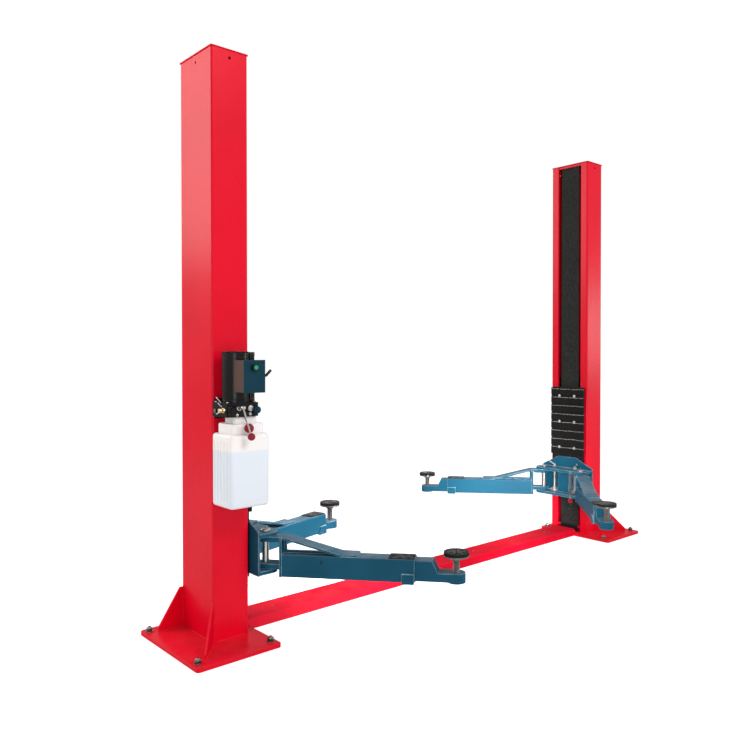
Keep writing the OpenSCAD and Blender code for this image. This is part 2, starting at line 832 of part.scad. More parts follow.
// one tier of the tank, in from its body by s on every side
module tank_tier(s, h) {
  translate([-tank_w / 2 + s, -tank_d / 2 + s, tank_h]) linear_extrude(h)
    round_rect(tank_w - 2 * s, tank_d - 2 * s, tank_r);
}

module oil_tank() {
  color(white) translate([tank_cx, tank_cy, tank_z]) {
    difference() {
      intersection() {
        translate([-tank_w / 2, -tank_d / 2, 0]) linear_extrude(tank_h)
          round_rect(tank_w, tank_d, tank_r);
        tank_side(tank_w, tank_d);
        rotate([0, 0, 90]) tank_side(tank_d, tank_w);
      }
      for (s = [-1, 1], i = [-2 : 2])
        translate([s * tank_w / 2, i * tank_groove_gap, 0])
          cylinder(r = tank_groove_r, h = tank_h);
    }
    tank_tier(tank_step, tank_shoulder_h);
    tank_tier(tank_neck_step, tank_rise);
  }
}

module valve_knob() {
  color(red) difference() {
    translate([motor_cx + knob_x, block_y0 - knob_out, block_z - knob_drop]) {
      sphere(d = knob_d);
      rotate([-knob_tilt, 0, 0]) cylinder(d = lever_d, h = knob_rod_l);
    }
    translate([block_x0, block_y0, block_z]) cube([pump_l, pump_w, pump_h]);
  }
}

module lowering_lever() {
  color(steel) translate([valve_cx, block_y0 - valve_l + lever_hub_l, valve_cz]) {
    rotate([90, 0, 0]) difference() {
      cylinder(d = lever_hub_d, h = lever_hub_l);
      translate([0, 0, -eps]) cylinder(d = valve_d + 2 * play, h = lever_hub_l + 2 * eps);
    }
    translate([0, -lever_hub_l / 2, 0]) rotate([0, -lever_a, 0]) {
      translate([0, 0, -lever_l]) cylinder(d = lever_d, h = lever_l - lever_hub_d / 2 + weld_in);
      translate([0, 0, -lever_l]) sphere(d = ball_d);
    }
  }
}

post();  // post_left
mirrored() post();  // post_right
top_cap();  // top_cap_left
mirrored() top_cap();  // top_cap_right
floor_cover();
curtain();  // curtain_left
mirrored() curtain();  // curtain_right
wall_bracket();
motor();
control_box();
control_cover();
start_button();
pump_block();
oil_tank();
valve_knob();
lowering_lever();
carriage();  // carriage_left
mirrored() carriage();  // carriage_right
door_guard();  // door_guard_left
mirrored() door_guard();  // door_guard_right
arm_bracket();  // arm_bracket_left
mirrored() arm_bracket();  // arm_bracket_right
pivot_pins();  // pivot_pins_left
mirrored() pivot_pins();  // pivot_pins_right
release_pull();
at_front(arm_fl_a) arm();  // arm_front_left
at_back(arm_bl_a) arm();  // arm_back_left
mirrored() at_front(arm_fr_a) arm();  // arm_front_right
mirrored() at_back(arm_br_a) arm();  // arm_back_right
at_front(arm_fl_a) grip();  // grip_front_left
at_back(arm_bl_a) grip();  // grip_back_left
mirrored() at_front(arm_fr_a) grip();  // grip_front_right
mirrored() at_back(arm_br_a) grip();  // grip_back_right
at_front(arm_fl_a) drawn_out(arm_fl_out) extension();  // extension_front_left
at_back(arm_bl_a) drawn_out(arm_bl_out) extension();  // extension_back_left
mirrored() at_front(arm_fr_a) drawn_out(arm_fr_out) extension();  // extension_front_right
mirrored() at_back(arm_br_a) drawn_out(arm_br_out) extension();  // extension_back_right
at_front(arm_fl_a) drawn_out(arm_fl_out) screw();  // screw_front_left
at_back(arm_bl_a) drawn_out(arm_bl_out, arm_bl_up) screw();  // screw_back_left
mirrored() at_front(arm_fr_a) drawn_out(arm_fr_out, arm_fr_up) screw();  // screw_front_right
mirrored() at_back(arm_br_a) drawn_out(arm_br_out) screw();  // screw_back_right
at_front(arm_fl_a) drawn_out(arm_fl_out) pad();  // pad_front_left
at_back(arm_bl_a) drawn_out(arm_bl_out, arm_bl_up) pad();  // pad_back_left
mirrored() at_front(arm_fr_a) drawn_out(arm_fr_out, arm_fr_up) pad();  // pad_front_right
mirrored() at_back(arm_br_a) drawn_out(arm_br_out) pad();  // pad_back_right
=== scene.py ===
"""Finishes and fine pieces of a two post car lift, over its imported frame."""

import logging
import math
from collections.abc import Callable, Iterable
from dataclasses import dataclass, field
from enum import Enum

import bpy
from mathutils import Matrix, Vector


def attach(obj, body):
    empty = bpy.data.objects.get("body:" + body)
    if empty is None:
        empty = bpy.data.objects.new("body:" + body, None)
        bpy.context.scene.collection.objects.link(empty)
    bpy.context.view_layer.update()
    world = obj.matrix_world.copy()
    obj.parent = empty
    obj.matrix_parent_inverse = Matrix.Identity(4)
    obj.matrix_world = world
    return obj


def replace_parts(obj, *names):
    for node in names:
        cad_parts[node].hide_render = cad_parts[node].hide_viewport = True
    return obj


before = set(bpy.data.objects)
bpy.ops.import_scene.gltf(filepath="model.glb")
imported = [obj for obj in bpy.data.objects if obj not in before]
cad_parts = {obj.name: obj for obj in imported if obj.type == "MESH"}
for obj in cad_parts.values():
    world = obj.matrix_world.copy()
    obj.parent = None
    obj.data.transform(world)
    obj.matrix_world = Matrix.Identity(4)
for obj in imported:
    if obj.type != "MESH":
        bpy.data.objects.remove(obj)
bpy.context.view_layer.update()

Colour = tuple[float, float, float]
Point = tuple[float, float, float]

log = logging.getLogger("lift")


class Side(Enum):
    """The post that a piece belongs to; the value is the sign of its X."""

    LEFT = -1
    RIGHT = 1

    @property
    def tag(self) -> str:
        """The side's name as the nodes spell it."""
        return self.name.lower()


class End(Enum):
    """The end of a carriage that an arm is on; the value is the sign of its Y."""

    FRONT = -1
    BACK = 1

    @property
    def tag(self) -> str:
        """The end's name as the nodes spell it."""
        return self.name.lower()


# Node trees


class Graph:
    """A node tree with short calls to add and join its nodes."""

    def __init__(self, tree: bpy.types.NodeTree) -> None:
        """Keeps the tree that the calls work on."""
        self.tree = tree

    def add(self, kind: str, **settings: object) -> bpy.types.Node:
        """Adds a node.

        Args:
            kind: the node type, without its ShaderNode prefix.
            settings: values for the node's own properties.

        Returns:
            The new node.
        """
        node = self.tree.nodes.new(kind if kind.startswith("Node") else "ShaderNode" + kind)
        for name, value in settings.items():
            setattr(node, name, value)
        return node

    def join(self, out: bpy.types.NodeSocket, into: bpy.types.NodeSocket) -> None:
        """Links one socket to another."""
        self.tree.links.new(out, into)

    def blend(self, low: object, high: object, mask: bpy.types.NodeSocket) -> bpy.types.NodeSocket:
        """Mixes two colours by a mask.

        Args:
            low: the colour, or the socket with it, where the mask is 0.
            high: the colour, or the socket with it, where the mask is 1.
            mask: the socket with the mask.

        Returns:
            The socket with the mixed colour.
        """
        mix = self.add("Mix", data_type="RGBA")
        self.join(mask, mix.inputs[0])
        for value, socket in ((low, mix.inputs[6]), (high, mix.inputs[7])):
            if isinstance(value, bpy.types.NodeSocket):
                self.join(value, socket)
            else:
                socket.default_value = (*value, 1.0)
        return mix.outputs[2]

    def spread(
        self, value: bpy.types.NodeSocket, start: tuple[float, float], end: tuple[float, float]
    ) -> bpy.types.NodeSocket:
        """Maps a value from one range to another.

        Args:
            value: the socket with the value.
            start: the range that it comes in.
            end: the range that it is mapped to.

        Returns:
            The socket with the mapped value.
        """
        node = self.add("MapRange")
        self.join(value, node.inputs[0])
        for index, number in enumerate((*start, *end), start=1):
            node.inputs[index].default_value = number
        return node.outputs[0]

    def times(self, first: bpy.types.NodeSocket, second: object) -> bpy.types.NodeSocket:
        """Multiplies a value by another socket's value or by a number."""
        node = self.add("Math", operation="MULTIPLY")
        self.join(first, node.inputs[0])
        if isinstance(second, bpy.types.NodeSocket):
            self.join(second, node.inputs[1])
        else:
            node.inputs[1].default_value = second
        return node.outputs[0]


def effect(
    name: str,
    inputs: dict[str, tuple[str, float]],
    outputs: dict[str, str],
    fill: Callable[[Graph, bpy.types.Node, bpy.types.Node], None],
) -> bpy.types.NodeTree:
    """Builds a shared node group once.

    Args:
        name: the group's name.
        inputs: each input's name with its socket kind and default value.
        outputs: each output's name with its socket kind.
        fill: makes the nodes between the group's input and output nodes.

    Returns:
        The group, new or built before.
    """
    if name in bpy.data.node_groups:
        return bpy.data.node_groups[name]
    tree = bpy.data.node_groups.new(name, "ShaderNodeTree")
    for key, (kind, value) in inputs.items():
        socket = tree.interface.new_socket(key, in_out="INPUT", socket_type="NodeSocket" + kind)
        if kind == "Float":
            socket.default_value = value
    for key, kind in outputs.items():
        tree.interface.new_socket(key, in_out="OUTPUT", socket_type="NodeSocket" + kind)
    graph = Graph(tree)
    fill(graph, graph.add("NodeGroupInput"), graph.add("NodeGroupOutput"))
    return tree


def fill_skin(graph: Graph, start: bpy.types.Node, end: bpy.types.Node) -> None:
    """Orange peel of a sprayed coat, with broad and fine unevenness."""
    peel = graph.add("TexNoise")
    peel.inputs["Detail"].default_value = 2.0
    graph.join(start.outputs["Place"], peel.inputs["Vector"])
    graph.join(start.outputs["Fineness"], peel.inputs["Scale"])
    broad = graph.add("TexNoise")
    broad.inputs["Scale"].default_value = 3.1
    broad.inputs["Detail"].default_value = 4.0
    graph.join(start.outputs["Place"], broad.inputs["Vector"])
    bump = graph.add("Bump")
    bump.inputs["Distance"].default_value = 0.0004
    graph.join(start.outputs["Depth"], bump.inputs["Strength"])
    graph.join(peel.outputs["Fac"], bump.inputs["Height"])
    graph.join(graph.spread(broad.outputs["Fac"], (0.35, 0.65), (0.0, 1.0)), end.inputs["Tone"])
    graph.join(graph.spread(peel.outputs["Fac"], (0.3, 0.7), (0.0, 1.0)), end.inputs["Fine"])
    graph.join(bump.outputs["Normal"], end.inputs["Normal"])


def corner_of(graph: Graph, radius: float, full: float) -> bpy.types.NodeSocket:
    """Finds the corners of a shape.

    Args:
        graph: the tree.
        radius: how far from a corner it reaches.
        full: cosine of the turn at which the mask is full.

    Returns:
        The socket that is 1 at a corner and 0 on flat faces.
    """
    shape = graph.add("NewGeometry")
    soft = graph.add("Bevel")
    soft.samples = 6
    soft.inputs["Radius"].default_value = radius
    turn = graph.add("VectorMath", operation="DOT_PRODUCT")
    graph.join(soft.outputs["Normal"], turn.inputs[0])
    graph.join(shape.outputs["Normal"], turn.inputs[1])
    return graph.spread(turn.outputs["Value"], (full, 0.995), (1.0, 0.0))


def fill_worn_and_highlit_edges(graph: Graph, start: bpy.types.Node, end: bpy.types.Node) -> None:
    """Edges that handling has rubbed, also lightened as painted highlight, broken up by noise."""
    noise = graph.add("TexNoise")
    noise.inputs["Scale"].default_value = 34.0
    noise.inputs["Detail"].default_value = 5.0
    graph.join(start.outputs["Place"], noise.inputs["Vector"])
    edge = corner_of(graph, 0.0016, 0.93)
    patch = graph.spread(noise.outputs["Fac"], (0.38, 0.66), (0.25, 1.0))
    graph.join(graph.times(graph.times(edge, patch), start.outputs["Amount"]), end.inputs["Mask"])


def fill_dusting_and_top_light(graph: Graph, start: bpy.types.Node, end: bpy.types.Node) -> None:
    """A dusting on faces that look up, which at large amounts also stands in for painted light from above."""
    shape = graph.add("NewGeometry")
    split = graph.add("SeparateXYZ")
    graph.join(shape.outputs["Normal"], split.inputs[0])
    noise = graph.add("TexNoise")
    noise.inputs["Scale"].default_value = 11.0
    noise.inputs["Detail"].default_value = 6.0
    graph.join(start.outputs["Place"], noise.inputs["Vector"])
    facing = graph.spread(split.outputs["Z"], (0.55, 0.95), (0.0, 1.0))
    patch = graph.spread(noise.outputs["Fac"], (0.30, 0.75), (0.2, 1.0))
    graph.join(graph.times(graph.times(facing, patch), start.outputs["Amount"]), end.inputs["Mask"])


def fill_corner_highlight(graph: Graph, start: bpy.types.Node, end: bpy.types.Node) -> None:
    """Corners of the plate lightened as painted highlight, strongest where they face up."""
    shape = graph.add("NewGeometry")
    split = graph.add("SeparateXYZ")
    graph.join(shape.outputs["Normal"], split.inputs[0])
    noise = graph.add("TexNoise")
    noise.inputs["Scale"].default_value = 21.0
    noise.inputs["Detail"].default_value = 5.0
    graph.join(start.outputs["Place"], noise.inputs["Vector"])
    corner = corner_of(graph, 0.0036, 0.90)
    upward = graph.spread(split.outputs["Z"], (-0.5, 0.3), (0.25, 1.0))
    patch = graph.spread(noise.outputs["Fac"], (0.36, 0.60), (0.30, 1.0))
    mask = graph.times(graph.times(corner, upward), patch)
    graph.join(graph.times(mask, start.outputs["Amount"]), end.inputs["Mask"])


def fill_weave(graph: Graph, start: bpy.types.Node, end: bpy.types.Node) -> None:
    """Plain weave of warp along Z and weft along Y."""
    turned = graph.add("Mapping")
    turned.inputs["Rotation"].default_value = (0.0, 0.0, math.pi / 2)
    graph.join(start.outputs["Place"], turned.inputs["Vector"])
    weft = graph.add("TexWave", wave_type="BANDS", bands_direction="Z", wave_profile="SIN")
    warp = graph.add("TexWave", wave_type="BANDS", bands_direction="X", wave_profile="SIN")
    for wave, place in ((weft, start.outputs["Place"]), (warp, turned.outputs["Vector"])):
        wave.inputs["Distortion"].default_value = 0.6
        wave.inputs["Detail"].default_value = 1.0
        graph.join(place, wave.inputs["Vector"])
        graph.join(start.outputs["Threads"], wave.inputs["Scale"])
    height = graph.times(weft.outputs["Fac"], warp.outputs["Fac"])
    bump = graph.add("Bump")
    bump.inputs["Strength"].default_value = 0.5
    bump.inputs["Distance"].default_value = 0.0006
    graph.join(height, bump.inputs["Height"])
    graph.join(height, end.inputs["Thread"])
    graph.join(bump.outputs["Normal"], end.inputs["Normal"])


def skin(graph: Graph, place: bpy.types.NodeSocket, fineness: float, depth: float) -> bpy.types.Node:
    """Adds the sprayed coat's group to a material.

    Args:
        graph: the material's tree.
        place: the socket with the coordinates.
        fineness: scale of the orange peel.
        depth: strength of its bump.

    Returns:
        The group node, with the outputs Tone, Fine and Normal.
    """
    node = graph.add("Group")
    node.node_tree = effect(
        "coat_skin",
        {"Place": ("Vector", 0.0), "Fineness": ("Float", 400.0), "Depth": ("Float", 0.1)},
        {"Tone": "Float", "Fine": "Float", "Normal": "Vector"},
        fill_skin,
    )
    graph.join(place, node.inputs["Place"])
    node.inputs["Fineness"].default_value = fineness
    node.inputs["Depth"].default_value = depth
    return node


def mask_of(
    graph: Graph,
    place: bpy.types.NodeSocket,
    name: str,
    fill: Callable[[Graph, bpy.types.Node, bpy.types.Node], None],
    amount: float,
) -> bpy.types.NodeSocket:
    """Adds a mask group to a material.

    Args:
        graph: the material's tree.
        place: the socket with the coordinates.
        name: the group's name.
        fill: makes the group's nodes.
        amount: how strong the mask is at most.

    Returns:
        The socket with the mask.
    """
    node = graph.add("Group")
    node.node_tree = effect(
        name,
        {"Place": ("Vector", 0.0), "Amount": ("Float", 1.0)},
        {"Mask": "Float"},
        fill,
    )
    graph.join(place, node.inputs["Place"])
    node.inputs["Amount"].default_value = amount
    return node.outputs["Mask"]


def calm_sheen(graph: Graph, shader: bpy.types.Node, level: float) -> None:
    """Sets the sheen of a coat that stays deep in colour where it is seen along its surface.

    Args:
        graph: the material's tree.
        shader: its shader.
        level: the specular level where the surface faces the eye.
    """
    weight = graph.add("LayerWeight")
    graph.join(
        graph.spread(weight.outputs["Facing"], (0.32, 0.68), (level, level * 0.10)),
        shader.inputs["Specular IOR Level"],
    )


# Finishes


@dataclass(frozen=True)
class Finish:
    """A procedural material; each kind fills in its own nodes."""

    name: str

    def material(self) -> bpy.types.Material:
        """The material of this finish, built at its first use."""
        label = f"{self.name}_finish"
        if label in bpy.data.materials:
            return bpy.data.materials[label]
        material = bpy.data.materials.new(label)
        material.use_nodes = True
        material.node_tree.nodes.clear()
        graph = Graph(material.node_tree)
        shader = graph.add("BsdfPrincipled")
        output = graph.add("OutputMaterial")
        graph.join(shader.outputs[0], output.inputs[0])
        place = graph.add("TexCoord").outputs["Object"]
        self.fill(graph, shader, place)
        return material

    def fill(self, graph: Graph, shader: bpy.types.Node, place: bpy.types.NodeSocket) -> None:
        """Joins the finish's nodes to the shader."""
        raise NotImplementedError


@dataclass(frozen=True)
class Paint(Finish):
    """Sprayed gloss paint with orange peel, a dusting that also paints light on upward faces, edges lightened by
    handling and by painted highlight, and painted corner highlights where asked.
    """

    colour: Colour = (0.7, 0.01, 0.03)
    deep: Colour = (0.6, 0.006, 0.02)
    edge: Colour = (0.8, 0.2, 0.2)
    roughness: float = 0.34
    wear: float = 0.4
    dust: float = 0.03
    specular: float = 0.12
    peel: float = 0.06
    ridge: float = 0.0

    def fill(self, graph: Graph, shader: bpy.types.Node, place: bpy.types.NodeSocket) -> None:
        """Joins the paint's nodes to the shader."""
        coat = skin(graph, place, 420.0, self.peel)
        # Edges lightened partly by handling and partly as painted highlight.
        wear_and_highlight_mask = mask_of(graph, place, "edge_rub", fill_worn_and_highlit_edges, self.wear)
        # Upward faces get a dusting that, at large amounts, also stands in for painted light from above.
        dust = mask_of(graph, place, "dust_fall", fill_dusting_and_top_light, self.dust)
        colour = graph.blend(self.colour, self.deep, coat.outputs["Tone"])
        colour = graph.blend(colour, self.edge, wear_and_highlight_mask)
        # Painted highlight on corners, strongest where they face up.
        if self.ridge > 0.0:
            colour = graph.blend(
                colour, self.edge, mask_of(graph, place, "ridge_light", fill_corner_highlight, self.ridge)
            )
        colour = graph.blend(colour, (0.62, 0.60, 0.57), dust)
        graph.join(colour, shader.inputs["Base Color"])
        low, high = self.roughness - 0.04, self.roughness + 0.06
        graph.join(
            graph.spread(coat.outputs["Fine"], (0.0, 1.0), (low, high)), shader.inputs["Roughness"]
        )
        graph.join(coat.outputs["Normal"], shader.inputs["Normal"])
        calm_sheen(graph, shader, self.specular)


@dataclass(frozen=True)
class Rubber(Finish):
    """Moulded rubber with a fine grain and grey on its raised edges, partly scuffs and partly painted highlight.
    """

    colour: Colour = (0.003, 0.003, 0.003)
    scuff_and_highlight_colour: Colour = (0.11, 0.105, 0.10)
    roughness: float = 0.55
    wear: float = 0.8
    fall: float = 0.04
    specular: float = 0.12

    def fill(self, graph: Graph, shader: bpy.types.Node, place: bpy.types.NodeSocket) -> None:
        """Joins the rubber's nodes to the shader."""
        grain = skin(graph, place, 900.0, 0.35)
        # Raised edges turn grey partly as scuffs and partly as painted highlight; upward faces get a dusting that,
        # at large amounts, also stands in for painted light.
        wear_and_highlight_mask = mask_of(graph, place, "edge_rub", fill_worn_and_highlit_edges, self.wear)
        dust = mask_of(graph, place, "dust_fall", fill_dusting_and_top_light, self.fall)
        colour = graph.blend(self.colour, tuple(c * 1.9 for c in self.colour), grain.outputs["Tone"])
        colour = graph.blend(colour, self.scuff_and_highlight_colour, wear_and_highlight_mask)
        colour = graph.blend(colour, (0.20, 0.19, 0.18), dust)
        graph.join(colour, shader.inputs["Base Color"])
        graph.join(
            graph.spread(grain.outputs["Fine"], (0.0, 1.0), (self.roughness - 0.1, self.roughness + 0.12)),
            shader.inputs["Roughness"],
        )
        graph.join(grain.outputs["Normal"], shader.inputs["Normal"])
        calm_sheen(graph, shader, self.specular)


@dataclass(frozen=True)
class GuardRubber(Rubber):
    """Moulded rubber of a ribbed guard, with painted highlight lines along the lips of its grooves."""

    first: float = 0.6585
    pitch: float = 0.0640

    def fill(self, graph: Graph, shader: bpy.types.Node, place: bpy.types.NodeSocket) -> None:
        """Joins the rubber's nodes and the painted highlight lines to the shader."""
        super().fill(graph, shader, place)
        split = graph.add("SeparateXYZ")
        graph.join(place, split.inputs[0])
        wander = graph.add("TexNoise")
        wander.inputs["Scale"].default_value = 16.0
        graph.join(place, wander.inputs["Vector"])
        lift = graph.add("Math", operation="ADD")
        graph.join(split.outputs["Z"], lift.inputs[0])
        graph.join(graph.spread(wander.outputs["Fac"], (0.3, 0.7), (-0.002, 0.002)), lift.inputs[1])
        near = graph.add("Math", operation="PINGPONG")
        shifted = graph.add("Math", operation="SUBTRACT")
        graph.join(lift.outputs[0], shifted.inputs[0])
        shifted.inputs[1].default_value = self.first
        graph.join(shifted.outputs[0], near.inputs[0])
        near.inputs[1].default_value = self.pitch / 2
        # Painted highlight lines along the lips of the grooves, one at each pitch.
        line = graph.spread(near.outputs[0], (0.0016, 0.0030), (1.0, 0.0))
        broken = graph.add("TexNoise")
        broken.inputs["Scale"].default_value = 90.0
        broken.inputs["Detail"].default_value = 6.0
        graph.join(place, broken.inputs["Vector"])
        lip_highlight = graph.times(line, graph.spread(broken.outputs["Fac"], (0.36, 0.60), (0.15, 1.0)))
        below = shader.inputs["Base Color"].links[0].from_socket
        graph.join(graph.blend(below, (0.30, 0.29, 0.28), lip_highlight), shader.inputs["Base Color"])


@dataclass(frozen=True)
class Fabric(Finish):
    """Woven cloth with a soft sheen."""

    colour: Colour = (0.005, 0.006, 0.0055)
    thread: Colour = (0.026, 0.028, 0.026)
    threads: float = 120.0

    def fill(self, graph: Graph, shader: bpy.types.Node, place: bpy.types.NodeSocket) -> None:
        """Joins the cloth's nodes to the shader."""
        weave = graph.add("Group")
        weave.node_tree = effect(
            "plain_weave",
            {"Place": ("Vector", 0.0), "Threads": ("Float", 100.0)},
            {"Thread": "Float", "Normal": "Vector"},
            fill_weave,
        )
        graph.join(place, weave.inputs["Place"])
        weave.inputs["Threads"].default_value = self.threads
        broad = skin(graph, place, 40.0, 0.1)
        base = graph.blend(self.colour, tuple(c * 1.6 for c in self.colour), broad.outputs["Tone"])
        woven = graph.blend(base, self.thread, weave.outputs["Thread"])
        slub = graph.add("TexNoise")
        slub.inputs["Scale"].default_value = 150.0
        slub.inputs["Detail"].default_value = 3.0
        graph.join(place, slub.inputs["Vector"])
        lint = graph.spread(slub.outputs["Fac"], (0.46, 0.70), (0.0, 0.5))
        graph.join(graph.blend(woven, (0.075, 0.078, 0.072), lint), shader.inputs["Base Color"])
        graph.join(weave.outputs["Normal"], shader.inputs["Normal"])
        shader.inputs["Roughness"].default_value = 0.85
        shader.inputs["Specular IOR Level"].default_value = 0.2
        shader.inputs["Sheen Weight"].default_value = 0.05
        shader.inputs["Sheen Roughness"].default_value = 0.4


@dataclass(frozen=True)
class Steel(Finish):
    """Bare or plated steel with fine brushing and uneven shine."""

    colour: Colour = (0.56, 0.55, 0.53)
    dark: Colour = (0.30, 0.29, 0.27)
    roughness: float = 0.30

    def fill(self, graph: Graph, shader: bpy.types.Node, place: bpy.types.NodeSocket) -> None:
        """Joins the steel's nodes to the shader."""
        grain = skin(graph, place, 700.0, 0.18)
        # Edges lightened partly by handling and partly as painted highlight.
        wear_and_highlight_mask = mask_of(graph, place, "edge_rub", fill_worn_and_highlit_edges, 0.7)
        colour = graph.blend(self.colour, self.dark, graph.times(grain.outputs["Tone"], 0.5))
        graph.join(graph.blend(colour, (0.72, 0.71, 0.70), wear_and_highlight_mask), shader.inputs["Base Color"])
        graph.join(
            graph.spread(grain.outputs["Fine"], (0.0, 1.0), (self.roughness - 0.08, self.roughness + 0.14)),
            shader.inputs["Roughness"],
        )
        graph.join(grain.outputs["Normal"], shader.inputs["Normal"])
        shader.inputs["Metallic"].default_value = 1.0


@dataclass(frozen=True)
class Plastic(Finish):
    """Moulded plastic with a faint texture."""

    colour: Colour = (0.2, 0.2, 0.2)
    roughness: float = 0.4
    grain: float = 0.12
    specular: float = 0.3

    def fill(self, graph: Graph, shader: bpy.types.Node, place: bpy.types.NodeSocket) -> None:
        """Joins the plastic's nodes to the shader."""
        grain = skin(graph, place, 800.0, self.grain)
        # Edges lightened partly by handling and partly as painted highlight.
        wear_and_highlight_mask = mask_of(graph, place, "edge_rub", fill_worn_and_highlit_edges, 0.25)
        colour = graph.blend(
            self.colour, tuple(c * 0.8 for c in self.colour), graph.times(grain.outputs["Tone"], 0.5)
        )
        light = tuple(min(1.0, c * 1.5 + 0.03) for c in self.colour)
        graph.join(graph.blend(colour, light, wear_and_highlight_mask), shader.inputs["Base Color"])
        graph.join(
            graph.spread(grain.outputs["Fine"], (0.0, 1.0), (self.roughness - 0.05, self.roughness + 0.08)),
            shader.inputs["Roughness"],
        )
        graph.join(grain.outputs["Normal"], shader.inputs["Normal"])
        shader.inputs["Specular IOR Level"].default_value = self.specular


@dataclass(frozen=True)
class TankPlastic(Finish):
    """Milky blow-moulded plastic through which the oil shows up to its level."""

    empty: Colour = (0.91, 0.87, 0.85)
    full: Colour = (0.74, 0.80, 0.87)
    level: float = 0.936

    def fill(self, graph: Graph, shader: bpy.types.Node, place: bpy.types.NodeSocket) -> None:
        """Joins the tank's nodes to the shader."""
        grain = skin(graph, place, 160.0, 0.14)
        split = graph.add("SeparateXYZ")
        graph.join(place, split.inputs[0])
        above = graph.spread(split.outputs["Z"], (self.level - 0.004, self.level + 0.004), (0.0, 1.0))
        colour = graph.blend(self.full, self.empty, above)
        colour = graph.blend(colour, (0.86, 0.84, 0.86), graph.times(grain.outputs["Tone"], 0.25))
        graph.join(colour, shader.inputs["Base Color"])
        graph.join(
            graph.spread(grain.outputs["Fine"], (0.0, 1.0), (0.32, 0.46)), shader.inputs["Roughness"]
        )
        graph.join(grain.outputs["Normal"], shader.inputs["Normal"])
        shader.inputs["Subsurface Weight"].default_value = 0.25
        shader.inputs["Subsurface Radius"].default_value = (0.012, 0.012, 0.014)
        shader.inputs["Subsurface Scale"].default_value = 1.0


@dataclass(frozen=True)
class TwoTone(Finish):
    """Bright steel on one part of a node and coloured plastic near a point of it."""

    centre: Point = (0.0, 0.0, 0.0)
    reach: float = 0.02
    plastic: Colour = (0.30, 0.004, 0.014)
    metal: Colour = (0.40, 0.38, 0.36)

    def fill(self, graph: Graph, shader: bpy.types.Node, place: bpy.types.NodeSocket) -> None:
        """Joins the two materials' nodes to the shader."""
        grain = skin(graph, place, 700.0, 0.10)
        away = graph.add("VectorMath", operation="DISTANCE")
        graph.join(place, away.inputs[0])
        away.inputs[1].default_value = self.centre
        metal = graph.spread(away.outputs["Value"], (self.reach, self.reach + 0.0005), (0.0, 1.0))
        shade = graph.blend(self.plastic, tuple(c * 0.7 for c in self.plastic), grain.outputs["Tone"])
        graph.join(graph.blend(shade, self.metal, metal), shader.inputs["Base Color"])
        graph.join(metal, shader.inputs["Metallic"])
        shader.inputs["Specular IOR Level"].default_value = 0.22
        graph.join(
            graph.spread(grain.outputs["Fine"], (0.0, 1.0), (0.20, 0.34)), shader.inputs["Roughness"]
        )
        graph.join(grain.outputs["Normal"], shader.inputs["Normal"])


@dataclass(frozen=True)
class Finishes:
    """All finishes of the lift."""

    red: Finish = Paint("red_gloss", (0.76, 0.002, 0.021), (0.70, 0.001, 0.017), (0.84, 0.14, 0.16), 0.28, specular=0.15)
    floor_red: Finish = Paint(
        "red_floor_plate", (0.60, 0.003, 0.021), (0.52, 0.002, 0.016), (0.72, 0.12, 0.14), 0.5, specular=0.03
    )
    # The blue's large dusting amount and its full corner highlight paint light onto the faces and corners that
    # look up.
    blue: Finish = Paint(
        "blue_gloss",
        (0.008, 0.084, 0.142),
        (0.005, 0.064, 0.114),
        (0.55, 0.77, 0.86),
        dust=0.20,
        specular=0.10,
        ridge=1.0,
    )
    black: Finish = Paint(
        "black_gloss", (0.004, 0.003, 0.003), (0.006, 0.005, 0.005), (0.12, 0.12, 0.12), 0.24, specular=0.20
    )
    teal: Finish = Paint("dark_teal", (0.005, 0.046, 0.074), (0.004, 0.034, 0.056), (0.10, 0.20, 0.24))
    rubber: Finish = Rubber("black_rubber")
    guard: Finish = GuardRubber("guard_rubber")
    # Edges of this rubber turn grey partly by wearing and partly as painted highlight.
    tread: Finish = Rubber("worn_and_highlit_rubber", (0.005, 0.005, 0.005), (0.34, 0.33, 0.32), 0.5)
    # Light rubber of the pad ribs, partly scuffing and partly painted highlight.
    scuffed: Finish = Rubber("scuffed_rubber", (0.085, 0.082, 0.078), (0.40, 0.39, 0.38), 0.5, fall=0.3)
    cloth: Finish = Fabric("curtain_cloth")
    steel: Finish = Steel("zinc_steel")
    dark_steel: Finish = Steel("dark_steel", (0.20, 0.19, 0.185), (0.08, 0.075, 0.07), 0.36)
    anchor: Finish = Steel("anchor_steel", (0.17, 0.15, 0.12), (0.03, 0.027, 0.024), 0.22)
    brass: Finish = Steel("brass", (0.72, 0.55, 0.30), (0.45, 0.32, 0.15), 0.28)
    box: Finish = Plastic("box_plastic", (0.100, 0.056, 0.046), 0.5, specular=0.10)
    jet: Finish = Plastic("jet_plastic", (0.005, 0.005, 0.005), 0.35)
    green: Finish = Plastic("green_plastic", (0.004, 0.36, 0.18), 0.3)
    knob: Finish = Plastic("red_plastic", (0.26, 0.003, 0.018), 0.16, specular=0.22)
    tank: Finish = TankPlastic("tank_plastic")
    lever: Finish = TwoTone("lever_and_ball", (-1.5720, -0.392, 1.0055), 0.0180)
    pull: Finish = TwoTone("wire_and_ring", (1.2985, -0.118, 0.2855), 0.0190, (0.50, 0.012, 0.02))


# Modelling


def clear_selection() -> None:
    """Deselects every object."""
    bpy.ops.object.select_all(action="DESELECT")


def only(obj: bpy.types.Object) -> bpy.types.Object:
    """Makes one object the only selected one and the active one."""
    clear_selection()
    obj.select_set(True)
    bpy.context.view_layer.objects.active = obj
    return obj


def settle(obj: bpy.types.Object, name: str) -> bpy.types.Object:
    """Names an object and moves its place, turn and size into its mesh."""
    obj.name = name
    obj.data.name = name
    only(obj)
    bpy.ops.object.transform_apply(location=True, rotation=True, scale=True)
    return obj


